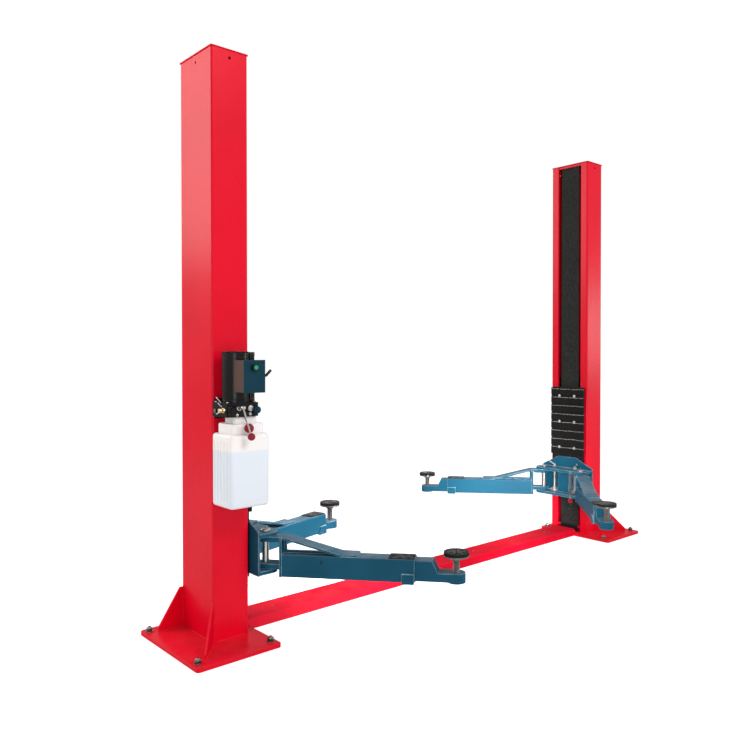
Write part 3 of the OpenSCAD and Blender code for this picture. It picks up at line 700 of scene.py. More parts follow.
def rod(name: str, radius: float, start: Point, end: Point, sides: int = 24) -> bpy.types.Object:
    """Adds a closed round bar between two points.

    Args:
        name: the object's name.
        radius: the bar's radius.
        start: the centre of one end.
        end: the centre of the other end.
        sides: the number of its side faces.

    Returns:
        The bar.
    """
    low, high = Vector(start), Vector(end)
    clear_selection()
    bpy.ops.mesh.primitive_cylinder_add(
        vertices=sides,
        radius=radius,
        depth=(high - low).length,
        location=(low + high) / 2,
        rotation=(high - low).to_track_quat("Z", "Y").to_euler(),
    )
    return settle(bpy.context.object, name)


def block(name: str, low: Point, high: Point) -> bpy.types.Object:
    """Adds a box between two corners."""
    first, last = Vector(low), Vector(high)
    clear_selection()
    bpy.ops.mesh.primitive_cube_add(size=1.0, location=(first + last) / 2, scale=last - first)
    return settle(bpy.context.object, name)


def ball(name: str, radius: float, at: Point, segments: int = 24) -> bpy.types.Object:
    """Adds a ball."""
    clear_selection()
    bpy.ops.mesh.primitive_uv_sphere_add(
        segments=segments, ring_count=segments // 2, radius=radius, location=at
    )
    return settle(bpy.context.object, name)


def hoop(name: str, major: float, minor: float, at: Point, turn: Point) -> bpy.types.Object:
    """Adds a ring of round wire."""
    clear_selection()
    bpy.ops.mesh.primitive_torus_add(
        major_radius=major,
        minor_radius=minor,
        major_segments=40,
        minor_segments=12,
        location=at,
        rotation=turn,
    )
    return settle(bpy.context.object, name)


def modify(obj: bpy.types.Object, kind: str, **settings: object) -> bpy.types.Object:
    """Adds a modifier with its settings and applies it."""
    modifier = obj.modifiers.new(kind.lower(), kind)
    for name, value in settings.items():
        setattr(modifier, name, value)
    only(obj)
    bpy.ops.object.modifier_apply(modifier=modifier.name)
    return obj


def rounded(obj: bpy.types.Object, width: float, segments: int = 2) -> bpy.types.Object:
    """Rounds the sharp edges of an object and shades it smooth between them."""
    modify(obj, "BEVEL", width=width, segments=segments, limit_method="ANGLE", angle_limit=0.7)
    only(obj)
    bpy.ops.object.shade_smooth_by_angle(angle=0.6)
    return obj


def pick_faces(obj: bpy.types.Object, wanted: Callable[[bpy.types.MeshPolygon], bool]) -> None:
    """Selects the faces that pass a test and opens the object for editing."""
    only(obj)
    bpy.ops.object.mode_set(mode="EDIT")
    bpy.ops.mesh.select_mode(type="FACE")
    bpy.ops.mesh.select_all(action="DESELECT")
    bpy.ops.object.mode_set(mode="OBJECT")
    for face in obj.data.polygons:
        face.select = wanted(face)
    bpy.ops.object.mode_set(mode="EDIT")


def leave() -> None:
    """Closes the object that is open for editing."""
    bpy.ops.object.mode_set(mode="OBJECT")


def raise_faces(
    obj: bpy.types.Object,
    wanted: Callable[[bpy.types.MeshPolygon], bool],
    inset: float,
    rise: float,
    apart: bool = False,
) -> bpy.types.Object:
    """Insets the faces that pass a test and pushes what is left out or in.

    Args:
        obj: the object.
        wanted: the test.
        inset: width of the rim that stays.
        rise: how far the inner faces move out; negative moves them in.
        apart: whether each face gets its own rim.

    Returns:
        The object.
    """
    pick_faces(obj, wanted)
    if inset > 0.0:
        bpy.ops.mesh.inset(thickness=inset, use_individual=apart, use_even_offset=True)
    if apart:
        bpy.ops.mesh.extrude_faces_move(
            MESH_OT_extrude_faces_indiv={}, TRANSFORM_OT_shrink_fatten={"value": rise}
        )
    else:
        bpy.ops.mesh.extrude_region_shrink_fatten(
            MESH_OT_extrude_region={}, TRANSFORM_OT_shrink_fatten={"value": rise}
        )
    leave()
    return obj


def joined(name: str, parts: Iterable[bpy.types.Object]) -> bpy.types.Object:
    """Joins several objects into one and names it."""
    parts = list(parts)
    clear_selection()
    for part in parts:
        part.select_set(True)
    bpy.context.view_layer.objects.active = parts[0]
    if len(parts) > 1:
        bpy.ops.object.join()
    return settle(bpy.context.object, name)


def carried(obj: bpy.types.Object, name: str, matrix: Matrix) -> bpy.types.Object:
    """Copies an object with its own mesh to another place.

    Args:
        obj: the object to copy.
        name: the copy's name.
        matrix: where the copy goes, which may mirror it.

    Returns:
        The copy.
    """
    copy = obj.copy()
    copy.data = obj.data.copy()
    copy.name = name
    copy.data.name = name
    bpy.context.scene.collection.objects.link(copy)
    copy.data.transform(matrix)
    if matrix.determinant() < 0.0:
        copy.data.flip_normals()
    return copy


def discard(obj: bpy.types.Object) -> None:
    """Deletes a pattern once its copies are made."""
    only(obj)
    bpy.ops.object.delete()


def hex_nut(name: str, across: float, at: Point, height: float) -> bpy.types.Object:
    """Adds an upright hexagon nut or bolt head with chamfered corners.

    Args:
        name: the object's name.
        across: width across the flats.
        at: centre of the underside.
        height: the nut's height.

    Returns:
        The nut.
    """
    top = (at[0], at[1], at[2] + height)
    nut = rod(name, across / 2 / math.cos(math.pi / 6), at, top, sides=6)
    raise_faces(nut, lambda f: f.normal.z > 0.9, across * 0.06, across * 0.05)
    return rounded(nut, across * 0.03)


def cap_screw(name: str, radius: float, at: Point, height: float) -> bpy.types.Object:
    """Adds an upright round screw head with a recess in its top."""
    head = rod(name, radius, at, (at[0], at[1], at[2] + height), sides=20)
    rounded(head, height * 0.35, 3)
    raise_faces(head, lambda f: f.normal.z > 0.98 and f.area > radius * radius * 0.5, radius * 0.35, -height * 0.4)
    return head


def threaded(name: str, radius: float, pitch: float, low: Point, length: float) -> bpy.types.Object:
    """Adds an upright bar with a cut thread.

    Args:
        name: the object's name.
        radius: outer radius of the thread.
        pitch: rise of one turn.
        low: centre of the lower end.
        length: length of the bar.

    Returns:
        The bar.
    """
    root = radius - 0.55 * pitch
    clear_selection()
    bpy.ops.mesh.primitive_plane_add(size=1.0)
    tooth = bpy.context.object
    only(tooth)
    bpy.ops.object.mode_set(mode="EDIT")
    bpy.ops.mesh.delete(type="ONLY_FACE")
    leave()
    ends = {0, 1}
    for edge in tooth.data.edges:
        edge.select = set(edge.vertices) == ends
    for face in tooth.data.polygons:
        face.select = False
    bpy.ops.object.mode_set(mode="EDIT")
    bpy.ops.mesh.select_mode(type="EDGE")
    bpy.ops.object.mode_set(mode="OBJECT")
    for edge in tooth.data.edges:
        edge.select = set(edge.vertices) == ends
    bpy.ops.object.mode_set(mode="EDIT")
    bpy.ops.mesh.delete(type="EDGE")
    leave()
    profile = {0: (root, 0.0), 2: (radius, 0.4 * pitch), 3: (radius, 0.6 * pitch), 1: (root, pitch)}
    for index, (out, up) in profile.items():
        tooth.data.vertices[index].co = (out, 0.0, up)
    modify(
        tooth,
        "SCREW",
        axis="Z",
        angle=2 * math.pi,
        steps=20,
        render_steps=20,
        screw_offset=pitch,
        iterations=max(1, int(length / pitch) - 1),
        use_merge_vertices=True,
        merge_threshold=0.00001,
    )
    tooth.location = low
    core = rounded(rod(name + "_core", root + 0.0001, low, (low[0], low[1], low[2] + length)), 0.001)
    return rounded(joined(name, [core, tooth]), 0.0002, 1)


def weld(name: str, start: Point, end: Point, radius: float = 0.0032) -> bpy.types.Object:
    """Adds a bead of overlapping weld ripples between two points.

    Args:
        name: the object's name.
        start: centre of the first ripple.
        end: centre of the last ripple.
        radius: radius of the bead.

    Returns:
        The bead.
    """
    low, high = Vector(start), Vector(end)
    length = (high - low).length
    count = max(2, round(length / (radius * 1.25)))
    clear_selection()
    bpy.ops.mesh.primitive_uv_sphere_add(segments=7, ring_count=4, radius=radius)
    bead = bpy.context.object
    bead.scale = (1.0, 1.0, 0.82)
    settle(bead, name)
    modify(
        bead,
        "ARRAY",
        count=count,
        use_relative_offset=False,
        use_constant_offset=True,
        constant_offset_displace=(0.0, 0.0, length / (count - 1)),
    )
    bead.rotation_euler = (high - low).to_track_quat("Z", "Y").to_euler()
    bead.location = low
    settle(bead, name)
    bpy.ops.object.shade_smooth()
    return bead


def mirror_x() -> Matrix:
    """The matrix that turns a left piece into the right one."""
    return Matrix.Diagonal((-1.0, 1.0, 1.0, 1.0))


@dataclass
class Assembly:
    """A sub-assembly that dresses CAD nodes and adds its own pieces."""

    finishes: Finishes = field(default_factory=Finishes)
    pieces: list[bpy.types.Object] = field(default_factory=list, init=False)

    def keep(self, piece: bpy.types.Object, body: str, slot: str, finish: Finish) -> bpy.types.Object:
        """Gives a piece its finish and lets it ride.

        Args:
            piece: the finished piece.
            body: the CAD body that it rides on.
            slot: the record's material slot; not used.
            finish: its finish.

        Returns:
            The piece.
        """
        piece.data.materials.clear()
        piece.data.materials.append(finish.material())
        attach(piece, body)
        self.pieces.append(piece)
        log.info("%s rides on %s, %d faces", piece.name, body, len(piece.data.polygons))
        return piece

    def dress(
        self, node: str, finish: Finish, edge: float = 0.0012, gather: float = 0.0, free: bool = False
    ) -> None:
        """Gives a CAD node its finish and small round edges.

        Args:
            node: the node's name.
            finish: its finish.
            edge: width of the rounding; 0 leaves the edges sharp.
            gather: corners closer together than this become one before the rounding.
            free: whether the rounding keeps its width beside short edges.
        """
        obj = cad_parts[node]
        obj.data.materials.clear()
        obj.data.materials.append(finish.material())
        merge = obj.modifiers.new("merge", "WELD")
        merge.merge_threshold = 0.00005
        if edge > 0.0:
            flat = obj.modifiers.new("flat", "DECIMATE")
            flat.decimate_type = "DISSOLVE"
            flat.angle_limit = math.radians(0.5)
            if gather > 0.0:
                short = obj.modifiers.new("short", "WELD")
                short.merge_threshold = gather
            bevel = obj.modifiers.new("edges", "BEVEL")
            bevel.width = edge
            bevel.segments = 2
            bevel.limit_method = "ANGLE"
            bevel.angle_limit = 0.6
            bevel.use_clamp_overlap = not free
        smooth = obj.modifiers.new("shading", "WEIGHTED_NORMAL")
        smooth.weight = 60
        smooth.keep_sharp = False

    def mirrored(self, piece: bpy.types.Object, name: str, body: str, slot: str, finish: Finish) -> None:
        """Keeps the right-hand copy of a left-hand piece."""
        self.keep(carried(piece, name, mirror_x()), body, slot, finish)


@dataclass
class Posts(Assembly):
    """Both posts with their base plates, caps, anchors and welds."""

    inner: float = 1.450
    outer: float = 1.642
    half: float = 0.159
    floor: float = 0.020
    anchors: tuple[tuple[float, float], ...] = (
        (-1.802, -0.320),
        (-1.802, 0.184),
        (-1.428, -0.320),
        (-1.428, 0.184),
    )
    gusset_low: float = 0.128
    gusset_front: float = 0.190
    gusset_turn: float = 51.0
    gusset_high: float = 0.195

    def build(self) -> None:
        """Dresses the posts and adds what is bolted and welded to them."""
        for side in Side:
            self.dress(f"post_{side.tag}", self.finishes.red, 0.0012, 0.0012, True)
            self.dress(f"top_cap_{side.tag}", self.finishes.red, 0.0010)
        self.add_anchors()
        self.add_welds()

    def add_anchors(self) -> None:
        """Adds the eight floor anchors: washer, nut and threaded stud."""
        z = self.floor
        washer = rounded(rod("washer", 0.0190, (0, 0, z), (0, 0, z + 0.003), 32), 0.0007)
        nut = hex_nut("nut", 0.027, (0, 0, z + 0.003), 0.0145)
        stud = threaded("stud", 0.0090, 0.0025, (0, 0, z + 0.004), 0.021)
        anchor = joined("anchor", [washer, nut, stud])
        for index, (x, y) in enumerate(self.anchors, start=1):
            turn = Matrix.Rotation(0.7 * index, 4, "Z")
            for side in Side:
                place = Matrix.Translation((x * -side.value, y, 0.0)) @ turn
                copy = carried(anchor, f"anchor_bolt_{side.tag}_{index}", place)
                self.keep(copy, "frame", "steel", self.finishes.anchor)
        discard(anchor)

    def add_welds(self) -> None:
        """Adds the weld beads round the posts' feet and along the gussets."""
        z, x, y = self.floor, self.outer, self.half
        beads = [
            weld("w", (-x, -y + 0.012, z), (-x, y - 0.012, z)),
            weld("w", (-x + 0.010, -y, z), (-self.inner - 0.002, -y, z)),
            weld("w", (-x + 0.010, y, z), (-self.inner - 0.002, y, z)),
        ]
        for low in (y, y - 0.010):
            beads.append(weld("w", (-x - 0.003, low, z), (-x - self.gusset_low + 0.002, low, z)))
            beads.append(weld("w", (-x, low, z + 0.004), (-x, low, z + self.gusset_high - 0.004)))
        turn = math.radians(self.gusset_turn)
        along = Vector((-math.cos(turn), -math.sin(turn), 0.0))
        across = Vector((-along.y, along.x, 0.0)) * 0.005
        root = Vector((-x + 0.005, -y + 0.005, z))
        for sign in (-1, 1):
            start = root + across * sign + along * 0.010
            end = root + across * sign + along * (self.gusset_front - 0.002)
            beads.append(weld("w", tuple(start), tuple(end)))
            top = start + Vector((0, 0, self.gusset_high - 0.006)) - along * 0.004
            beads.append(weld("w", tuple(start - along * 0.004), tuple(top)))
        left = self.keep(joined("foot_welds_left", beads), "frame", "red_paint", self.finishes.red)
        self.mirrored(left, "foot_welds_right", "frame", "red_paint", self.finishes.red)


@dataclass
class FloorCover(Assembly):
    """The cover between the posts with its screws."""

    centre: float = 0.038
    top: float = 0.042
    screws: tuple[float, ...] = (-1.19, -0.40, 0.40, 1.19)

    def build(self) -> None:
        """Dresses the cover and adds its screws."""
        self.dress("floor_cover", self.finishes.floor_red, 0.0015)
        head = cap_screw("head", 0.0055, (0, 0, self.top), 0.0028)
        heads = []
        for x in self.screws:
            heads.append(carried(head, "h", Matrix.Translation((x, self.centre, 0.0))))
        discard(head)
        self.keep(joined("cover_screws", heads), "frame", "steel", self.finishes.dark_steel)


@dataclass
class Curtains(Assembly):
    """The cloth curtains that close the posts' slots."""

    front: float = 1.4622
    width: float = 0.156
    low: float = 0.050
    high: float = 2.820
    thick: float = 0.0012
    hem: float = 0.010
    foot_low: Point = (-1.4562, -0.0775, 0.0202)
    foot_high: Point = (-1.4546, 0.0775, 0.0680)

    def build(self) -> None:
        """Adds both curtains with their hems, in place of the plain solids."""
        left = self.strip("curtain_cloth_left")
        right = carried(left, "curtain_cloth_right", mirror_x())
        for side, cloth in ((Side.LEFT, left), (Side.RIGHT, right)):
            self.keep(cloth, "frame", "black_fabric", self.finishes.cloth)
            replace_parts(cloth, f"curtain_{side.tag}")
            f"post_{side.tag}"
        foot = rounded(block("curtain_foot_left", self.foot_low, self.foot_high), 0.0004)
        self.keep(foot, "frame", "black_rubber", self.finishes.rubber)
        self.mirrored(foot, "curtain_foot_right", "frame", "black_rubber", self.finishes.rubber)

    def strip(self, name: str) -> bpy.types.Object:
        """Makes one curtain: a taut strip with faint ripples and folded hems.

        Args:
            name: the object's name.

        Returns:
            The curtain of the left post.
        """
        length = self.high - self.low
        clear_selection()
        bpy.ops.mesh.primitive_grid_add(
            x_subdivisions=16,
            y_subdivisions=140,
            size=1.0,
            location=(-self.front - 0.0006, 0.0, self.low + length / 2),
            rotation=(math.pi / 2, 0.0, -math.pi / 2),
        )
        cloth = bpy.context.object
        cloth.scale = (self.width, length, 1.0)
        settle(cloth, name)
        ripples = bpy.data.textures.new("curtain_ripples", "CLOUDS")
        ripples.noise_scale = 0.12
        modify(cloth, "DISPLACE", texture=ripples, strength=0.0012, mid_level=0.5, direction="X")
        modify(cloth, "SOLIDIFY", thickness=self.thick, offset=0.0)
        edge = self.width / 2 - self.hem
        raise_faces(
            cloth, lambda f: abs(f.center.y) > edge and abs(f.normal.x) > 0.7, 0.0, 0.0003
        )
        return rounded(cloth, 0.0001, 1)


@dataclass
class Carriages(Assembly):
    """The carriages with their guards, brackets, pins and arm locks."""

    guard_face: float = 1.421
    guard_screw_y: float = 0.067
    guard_screw_z: tuple[float, ...] = (0.660, 0.857, 1.054)
    plate_face: float = 1.425
    pivot: tuple[float, float] = (1.358, 0.165)
    lock: tuple[float, float] = (1.396, 0.092)
    low_top: float = 0.324
    high_low: float = 0.487
    high_top: float = 0.505

    def build(self) -> None:
        """Dresses the carriages and adds what is fixed to them."""
        for side in Side:
            self.dress(f"carriage_{side.tag}", self.finishes.black, 0.0012)
            self.dress(f"door_guard_{side.tag}", self.finishes.guard, 0.0016)
            self.dress(f"arm_bracket_{side.tag}", self.finishes.blue, 0.0012, 0.0018)
            self.dress(f"pivot_pins_{side.tag}", self.finishes.steel, 0.0012)
        self.dress("release_pull", self.finishes.pull, 0.0)
        self.add_guard_screws()
        self.add_locks()
        self.add_welds()

    def add_guard_screws(self) -> None:
        """Adds the six screws of each door guard."""
        head = cap_screw("head", 0.0075, (0, 0, 0), 0.004)
        collar = rounded(rod("collar", 0.0105, (0, 0, -0.0006), (0, 0, 0.0012), 24), 0.0005)
        screw = joined("screw", [head, collar])
        turn = Matrix.Rotation(math.pi / 2, 4, "Y")
        screws = []
        for z in self.guard_screw_z:
            for y in (-self.guard_screw_y, self.guard_screw_y):
                place = Matrix.Translation((-self.guard_face, y, z)) @ turn
                screws.append(carried(screw, "s", place))
        discard(screw)
        left = joined("guard_screws_left", screws)
        self.keep(left, "carriage_left", "steel", self.finishes.steel)
        self.mirrored(left, "guard_screws_right", "carriage_right", "steel", self.finishes.steel)

    def add_locks(self) -> None:
        """Adds the spring, gear and handle of each arm lock and the grease nipple of each pin."""
        x, y = -self.lock[0], -self.lock[1]
        gear = rod("gear", 0.024, (x, y, self.low_top), (x, y, self.low_top + 0.020), 32)
        index = {face.index for face in gear.data.polygons if abs(face.normal.z) < 0.5}
        raise_faces(gear, lambda f: f.index in index and f.index % 2 == 0, 0.0004, 0.0040, apart=True)
        rounded(gear, 0.0005, 1)
        collar = rounded(rod("c", 0.0150, (x, y, 0.344), (x, y, 0.356), 28), 0.0015)
        seat = rounded(rod("c", 0.0150, (x, y, self.high_low - 0.006), (x, y, self.high_low), 28), 0.001)
        spring = self.coil("spring", (x, y, 0.356), 0.0125, 0.0016, 0.125, 11)
        nut = hex_nut("nut", 0.024, (x, y, self.high_top), 0.010)
        grip = rounded(rod("grip", 0.0042, (x, y, 0.524), (x + 0.020, y - 0.030, 0.546), 16), 0.001)
        tip = ball("tip", 0.0068, (x + 0.020, y - 0.030, 0.546), 16)
        only(tip)
        bpy.ops.object.shade_smooth()
        lock = joined("lock", [gear, collar, seat, spring, nut, grip, tip])
        px, py = -self.pivot[0], -self.pivot[1]
        head = rounded(rod("n", 0.0165, (px, py, 0.513), (px, py, 0.5165), 32), 0.001)
        stem = rod("n", 0.0032, (px, py, 0.5165), (px, py, 0.5235), 12)
        cap = ball("n", 0.0036, (px, py, 0.5245), 12)
        foot = rounded(rod("n", 0.0240, (px, py, 0.301), (px, py, 0.306), 40), 0.0012)
        bolt = hex_nut("n", 0.016, (px, py, 0.2945), 0.0065)
        nipple = joined("nipple", [head, stem, cap, foot, bolt])
        for side in Side:
            for end in End:
                flip = Matrix.Diagonal((-side.value, -end.value, 1.0, 1.0))
                body = f"carriage_{side.tag}"
                name = f"{end.tag}_{side.tag}"
                self.keep(carried(lock, f"arm_lock_{name}", flip), body, "steel", self.finishes.steel)
                copy = carried(nipple, f"pin_fittings_{name}", flip)
                self.keep(copy, body, "steel", self.finishes.dark_steel)
        discard(lock)
        discard(nipple)

    @staticmethod
    def coil(
        name: str, low: Point, radius: float, wire: float, length: float, turns: int
    ) -> bpy.types.Object:
        """Makes an upright coil spring.

        Args:
            name: the object's name.
            low: centre of its lower end.
            radius: radius of the coil at the wire's centre.
            wire: radius of the wire.
            length: length of the spring.
            turns: number of turns.

        Returns:
            The spring.
        """
        clear_selection()
        bpy.ops.mesh.primitive_circle_add(
            vertices=8, radius=wire, location=(radius, 0.0, 0.0), rotation=(math.pi / 2, 0.0, 0.0)
        )
        spring = settle(bpy.context.object, name)
        modify(
            spring,
            "SCREW",
            axis="Z",
            angle=2 * math.pi,
            steps=20,
            render_steps=20,
            screw_offset=length / turns,
            iterations=turns,
        )
        spring.location = low
        settle(spring, name)
        bpy.ops.object.shade_smooth()
        return spring

    def add_welds(self) -> None:
        """Adds the beads between each bracket's plates."""
        x = -self.plate_face
        beads = [
            weld("w", (x, -0.200, self.high_top), (x, 0.200, self.high_top)),
            weld("w", (x, -0.200, self.high_low), (x, 0.200, self.high_low)),
            weld("w", (x, -0.200, self.low_top), (x, 0.200, self.low_top)),
        ]
        for y in (-0.048, 0.048):
            beads.append(weld("w", (x, y, self.low_top + 0.004), (x, y, self.high_low - 0.004)))
        left = self.keep(
            joined("bracket_welds_left", beads), "carriage_left", "blue_paint", self.finishes.blue
        )
        self.mirrored(left, "bracket_welds_right", "carriage_right", "blue_paint", self.finishes.blue)


@dataclass(frozen=True)
class ArmPlace:
    """Where one arm points and how far it and its pad are drawn out."""

    side: Side
    end: End
    turn: float
    out: float
    up: float

    @property
    def tag(self) -> str:
        """The arm's name as the nodes spell it."""
        return f"{self.end.tag}_{self.side.tag}"

    def matrix(self, pivot: tuple[float, float], drawn: bool = False, raised: bool = False) -> Matrix:
        """Carries the arm's own frame to its pivot.

        Args:
            pivot: distance of the pivots from both middle planes.
            drawn: whether the piece slides out with the extension.
            raised: whether the piece rises with the pad.

        Returns:
            The matrix.
        """
        flip = Matrix.Diagonal((-self.side.value, -self.end.value, 1.0, 1.0))
        place = Matrix.Translation((-pivot[0], -pivot[1], 0.0))
        turn = Matrix.Rotation(-math.radians(self.turn), 4, "Z")
        slide = Matrix.Translation((self.out if drawn else 0.0, 0.0, self.up if raised else 0.0))
        return flip @ place @ turn @ slide


@dataclass
class Arms(Assembly):
    """The four telescopic arms with their grips, screws and pads."""

    pivot: tuple[float, float] = (1.358, 0.165)
    places: tuple[ArmPlace, ...] = (
        ArmPlace(Side.LEFT, End.FRONT, 50.5, 0.125, 0.0),
        ArmPlace(Side.LEFT, End.BACK, 16.0, 0.034, 0.014),
        ArmPlace(Side.RIGHT, End.FRONT, 44.0, 0.083, 0.014),
        ArmPlace(Side.RIGHT, End.BACK, 49.0, 0.090, 0.0),
    )
    pad_u: float = 0.819
    pad_radius: float = 0.061
    pad_top: float = 0.440
    pad_thick: float = 0.019
    cup_thick: float = 0.007
    screw_radius: float = 0.0165
    screw_low: float = 0.286
    beam_top: float = 0.402
    beam_end: float = 0.748
    beam_side: float = 0.050
    grip_length: float = 0.124
    grip_width: float = 0.084
    grip_thick: float = 0.007
    grip_back: float = 0.002

    def build(self) -> None:
        """Dresses the arms and adds their own pieces."""
        screw, pad, tread, grip, welds, bolt = (
            self.screw(),
            self.pad(),
            self.tread(),
            self.grip(),
            self.welds(),
            self.stop_bolt(),
        )
        for place in self.places:
            tag = place.tag
            self.dress(f"arm_{tag}", self.finishes.blue, 0.0007, 0.0018, True)
            self.dress(f"extension_{tag}", self.finishes.blue, 0.0012)
            held = place.matrix(self.pivot)
            lifted = place.matrix(self.pivot, drawn=True, raised=True)
            piece = carried(screw, f"pad_screw_{tag}", lifted)
            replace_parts(self.keep(piece, f"pad_{tag}", "steel", self.finishes.dark_steel), f"screw_{tag}")
            piece = carried(pad, f"pad_rubber_{tag}", lifted)
            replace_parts(self.keep(piece, f"pad_{tag}", "black_rubber", self.finishes.tread), f"pad_{tag}")
            # The pad ribs take a light rubber that is partly scuffing and partly painted highlight.
            piece = carried(tread, f"pad_ribs_{tag}", lifted)
            self.keep(piece, f"pad_{tag}", "black_rubber", self.finishes.scuffed)
            piece = carried(grip, f"grip_tread_{tag}", held)
            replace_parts(self.keep(piece, f"arm_{tag}", "black_rubber", self.finishes.tread), f"grip_{tag}")
            piece = carried(welds, f"arm_welds_{tag}", held)
            self.keep(piece, f"arm_{tag}", "blue_paint", self.finishes.blue)
            # The stop bolt heads are black partly as their own colour and partly as painted shade of a dark
            # recess.
            piece = carried(bolt, f"stop_bolt_{tag}", held)
            self.keep(piece, f"arm_{tag}", "steel", self.finishes.jet)
        for pattern in (screw, pad, tread, grip, welds, bolt):
            discard(pattern)

    def screw(self) -> bpy.types.Object:
        """Makes a pad's threaded stem with its steel cup, in the arm's frame."""
        u = self.pad_u
        cup_low = self.pad_top - self.pad_thick - self.cup_thick
        stem = threaded("stem", self.screw_radius, 0.005, (u, 0.0, self.screw_low), cup_low - self.screw_low)
        hub = rounded(rod("hub", 0.0235, (u, 0.0, cup_low - 0.016), (u, 0.0, cup_low), 32), 0.003)
        cup = rod("cup", self.pad_radius, (u, 0.0, cup_low), (u, 0.0, cup_low + self.cup_thick), 56)
        return joined("screw", [stem, hub, rounded(cup, 0.0018)])

    def pad(self) -> bpy.types.Object:
        """Makes a rubber pad with a moulded tread, in the arm's frame."""
        low, top = self.pad_top - self.pad_thick, self.pad_top - 0.0025
        centre = Vector((self.pad_u, 0.0, 0.0))
        pad = rod("pad", self.pad_radius, (self.pad_u, 0.0, low), (self.pad_u, 0.0, top), 48)

        def flat(face: bpy.types.MeshPolygon) -> bool:
            """Whether a face is the disc in the middle of the top."""
            return face.normal.z > 0.9 and len(face.vertices) > 8

        def inset(width: float, rise: float) -> None:
            """Adds one step to the middle of the top."""
            raise_faces(pad, flat, width, rise)

        pick_faces(pad, flat)
        bpy.ops.mesh.inset(thickness=0.0035)
        bpy.ops.mesh.inset(thickness=0.0135)
        leave()
        inset(0.002, -0.0012)
        inset(0.012, 0.0)
        inset(0.0015, 0.0014)
        inset(0.006, -0.0014)
        inset(0.010, 0.0012)

        def lug(face: bpy.types.MeshPolygon) -> bool:
            """Whether a face is one of the alternate faces of the outer tread."""
            out = Vector((face.center.x, face.center.y, 0.0)) - centre
            turn = math.degrees(math.atan2(out.y, out.x)) % 15.0
            return face.normal.z > 0.9 and 0.047 < out.length < 0.058 and turn < 7.5

        raise_faces(pad, lug, 0.0006, 0.0025, apart=True)

        def dot(face: bpy.types.MeshPolygon) -> bool:
            """Whether a face is one of the alternate faces of the inner tread."""
            out = Vector((face.center.x, face.center.y, 0.0)) - centre
            turn = math.degrees(math.atan2(out.y, out.x)) % 15.0
            return face.normal.z > 0.9 and 0.031 < out.length < 0.041 and turn >= 7.5

        raise_faces(pad, dot, 0.0006, 0.0022, apart=True)
        return rounded(pad, 0.0004, 1)

    def tread(self) -> bpy.types.Object:
        """Makes the ribs on a pad, in the arm's frame; their light finish is partly scuffing and partly painted
        highlight.
        """
        top = self.pad_top - 0.0012
        rib = block("rib", (0.007, -0.0026, top - 0.003), (0.047, 0.0026, top))
        pick_faces(rib, lambda f: f.normal.x > 0.9)
        bpy.ops.transform.translate(value=(0.0, 0.011, 0.0))
        leave()
        rounded(rib, 0.0008)
        ribs = [
            carried(rib, "r", Matrix.Translation((self.pad_u, 0.0, 0.0)) @ Matrix.Rotation(turn, 4, "Z"))
            for turn in (math.pi / 3 * step for step in range(6))
        ]
        discard(rib)
        return joined("tread", ribs)

    def grip(self) -> bpy.types.Object:
        """Makes a grip block with rows of studs, in the arm's frame."""
        start = self.beam_end - self.grip_back - self.grip_length
        low = self.beam_top
        base = block(
            "grip",
            (start, -self.grip_width / 2, low),
            (start + self.grip_length, self.grip_width / 2, low + self.grip_thick - 0.0022),
        )
        rounded(base, 0.0010)
        clear_selection()
        bpy.ops.mesh.primitive_grid_add(
            x_subdivisions=13,
            y_subdivisions=7,
            size=1.0,
            location=(start + self.grip_length / 2, 0.0, low + self.grip_thick - 0.0024),
        )
        studs = bpy.context.object
        studs.scale = (self.grip_length - 0.012, self.grip_width - 0.012, 1.0)
        settle(studs, "studs")
        raise_faces(studs, lambda f: True, 0.0016, 0.0024, apart=True)
        pick_faces(studs, lambda f: f.center.z < low + self.grip_thick - 0.0020 and abs(f.normal.z) > 0.9)
        bpy.ops.mesh.delete(type="FACE")
        leave()
        rounded(studs, 0.0006, 1)
        return joined("grip", [base, studs])

    def welds(self) -> bpy.types.Object:
        """Makes an arm's weld beads, in the arm's frame."""
        top = self.beam_top
        beads = [weld("w", (0.470, -0.043, top), (0.470, 0.043, top))]
        for y in (-0.045, 0.045):
            beads.append(weld("w", (0.388, y, top), (0.469, y, top)))
        for y in (-0.005, 0.005):
            beads.append(weld("w", (0.098, y, top), (0.383, y, top), 0.0024))
        beads.append(weld("w", (0.096, -0.042, top), (0.096, 0.042, top)))
        for z in (0.352, 0.459):
            beads.append(weld("w", (0.084, -0.037, z), (0.084, 0.037, z)))
        for y in (-0.050, 0.050):
            beads.append(weld("w", (0.688, y, 0.333), (0.744, y, 0.333), 0.0026))
            beads.append(weld("w", (0.0965, y * 0.97, 0.300), (0.0965, y * 0.97, 0.396), 0.0024))
        return joined("welds", beads)

    def stop_bolt(self) -> bpy.types.Object:
        """Makes the bolt heads that stop an extension, one on each side of the arm."""
        head = hex_nut("head", 0.010, (0.0, 0.0, self.beam_side), 0.004)
        place = Matrix.Translation((0.296, 0.0, 0.372))
        first = carried(head, "a", place @ Matrix.Rotation(math.pi / 2, 4, "X"))
        last = carried(head, "b", place @ Matrix.Rotation(-math.pi / 2, 4, "X"))
        discard(head)
        return joined("bolt", [first, last])


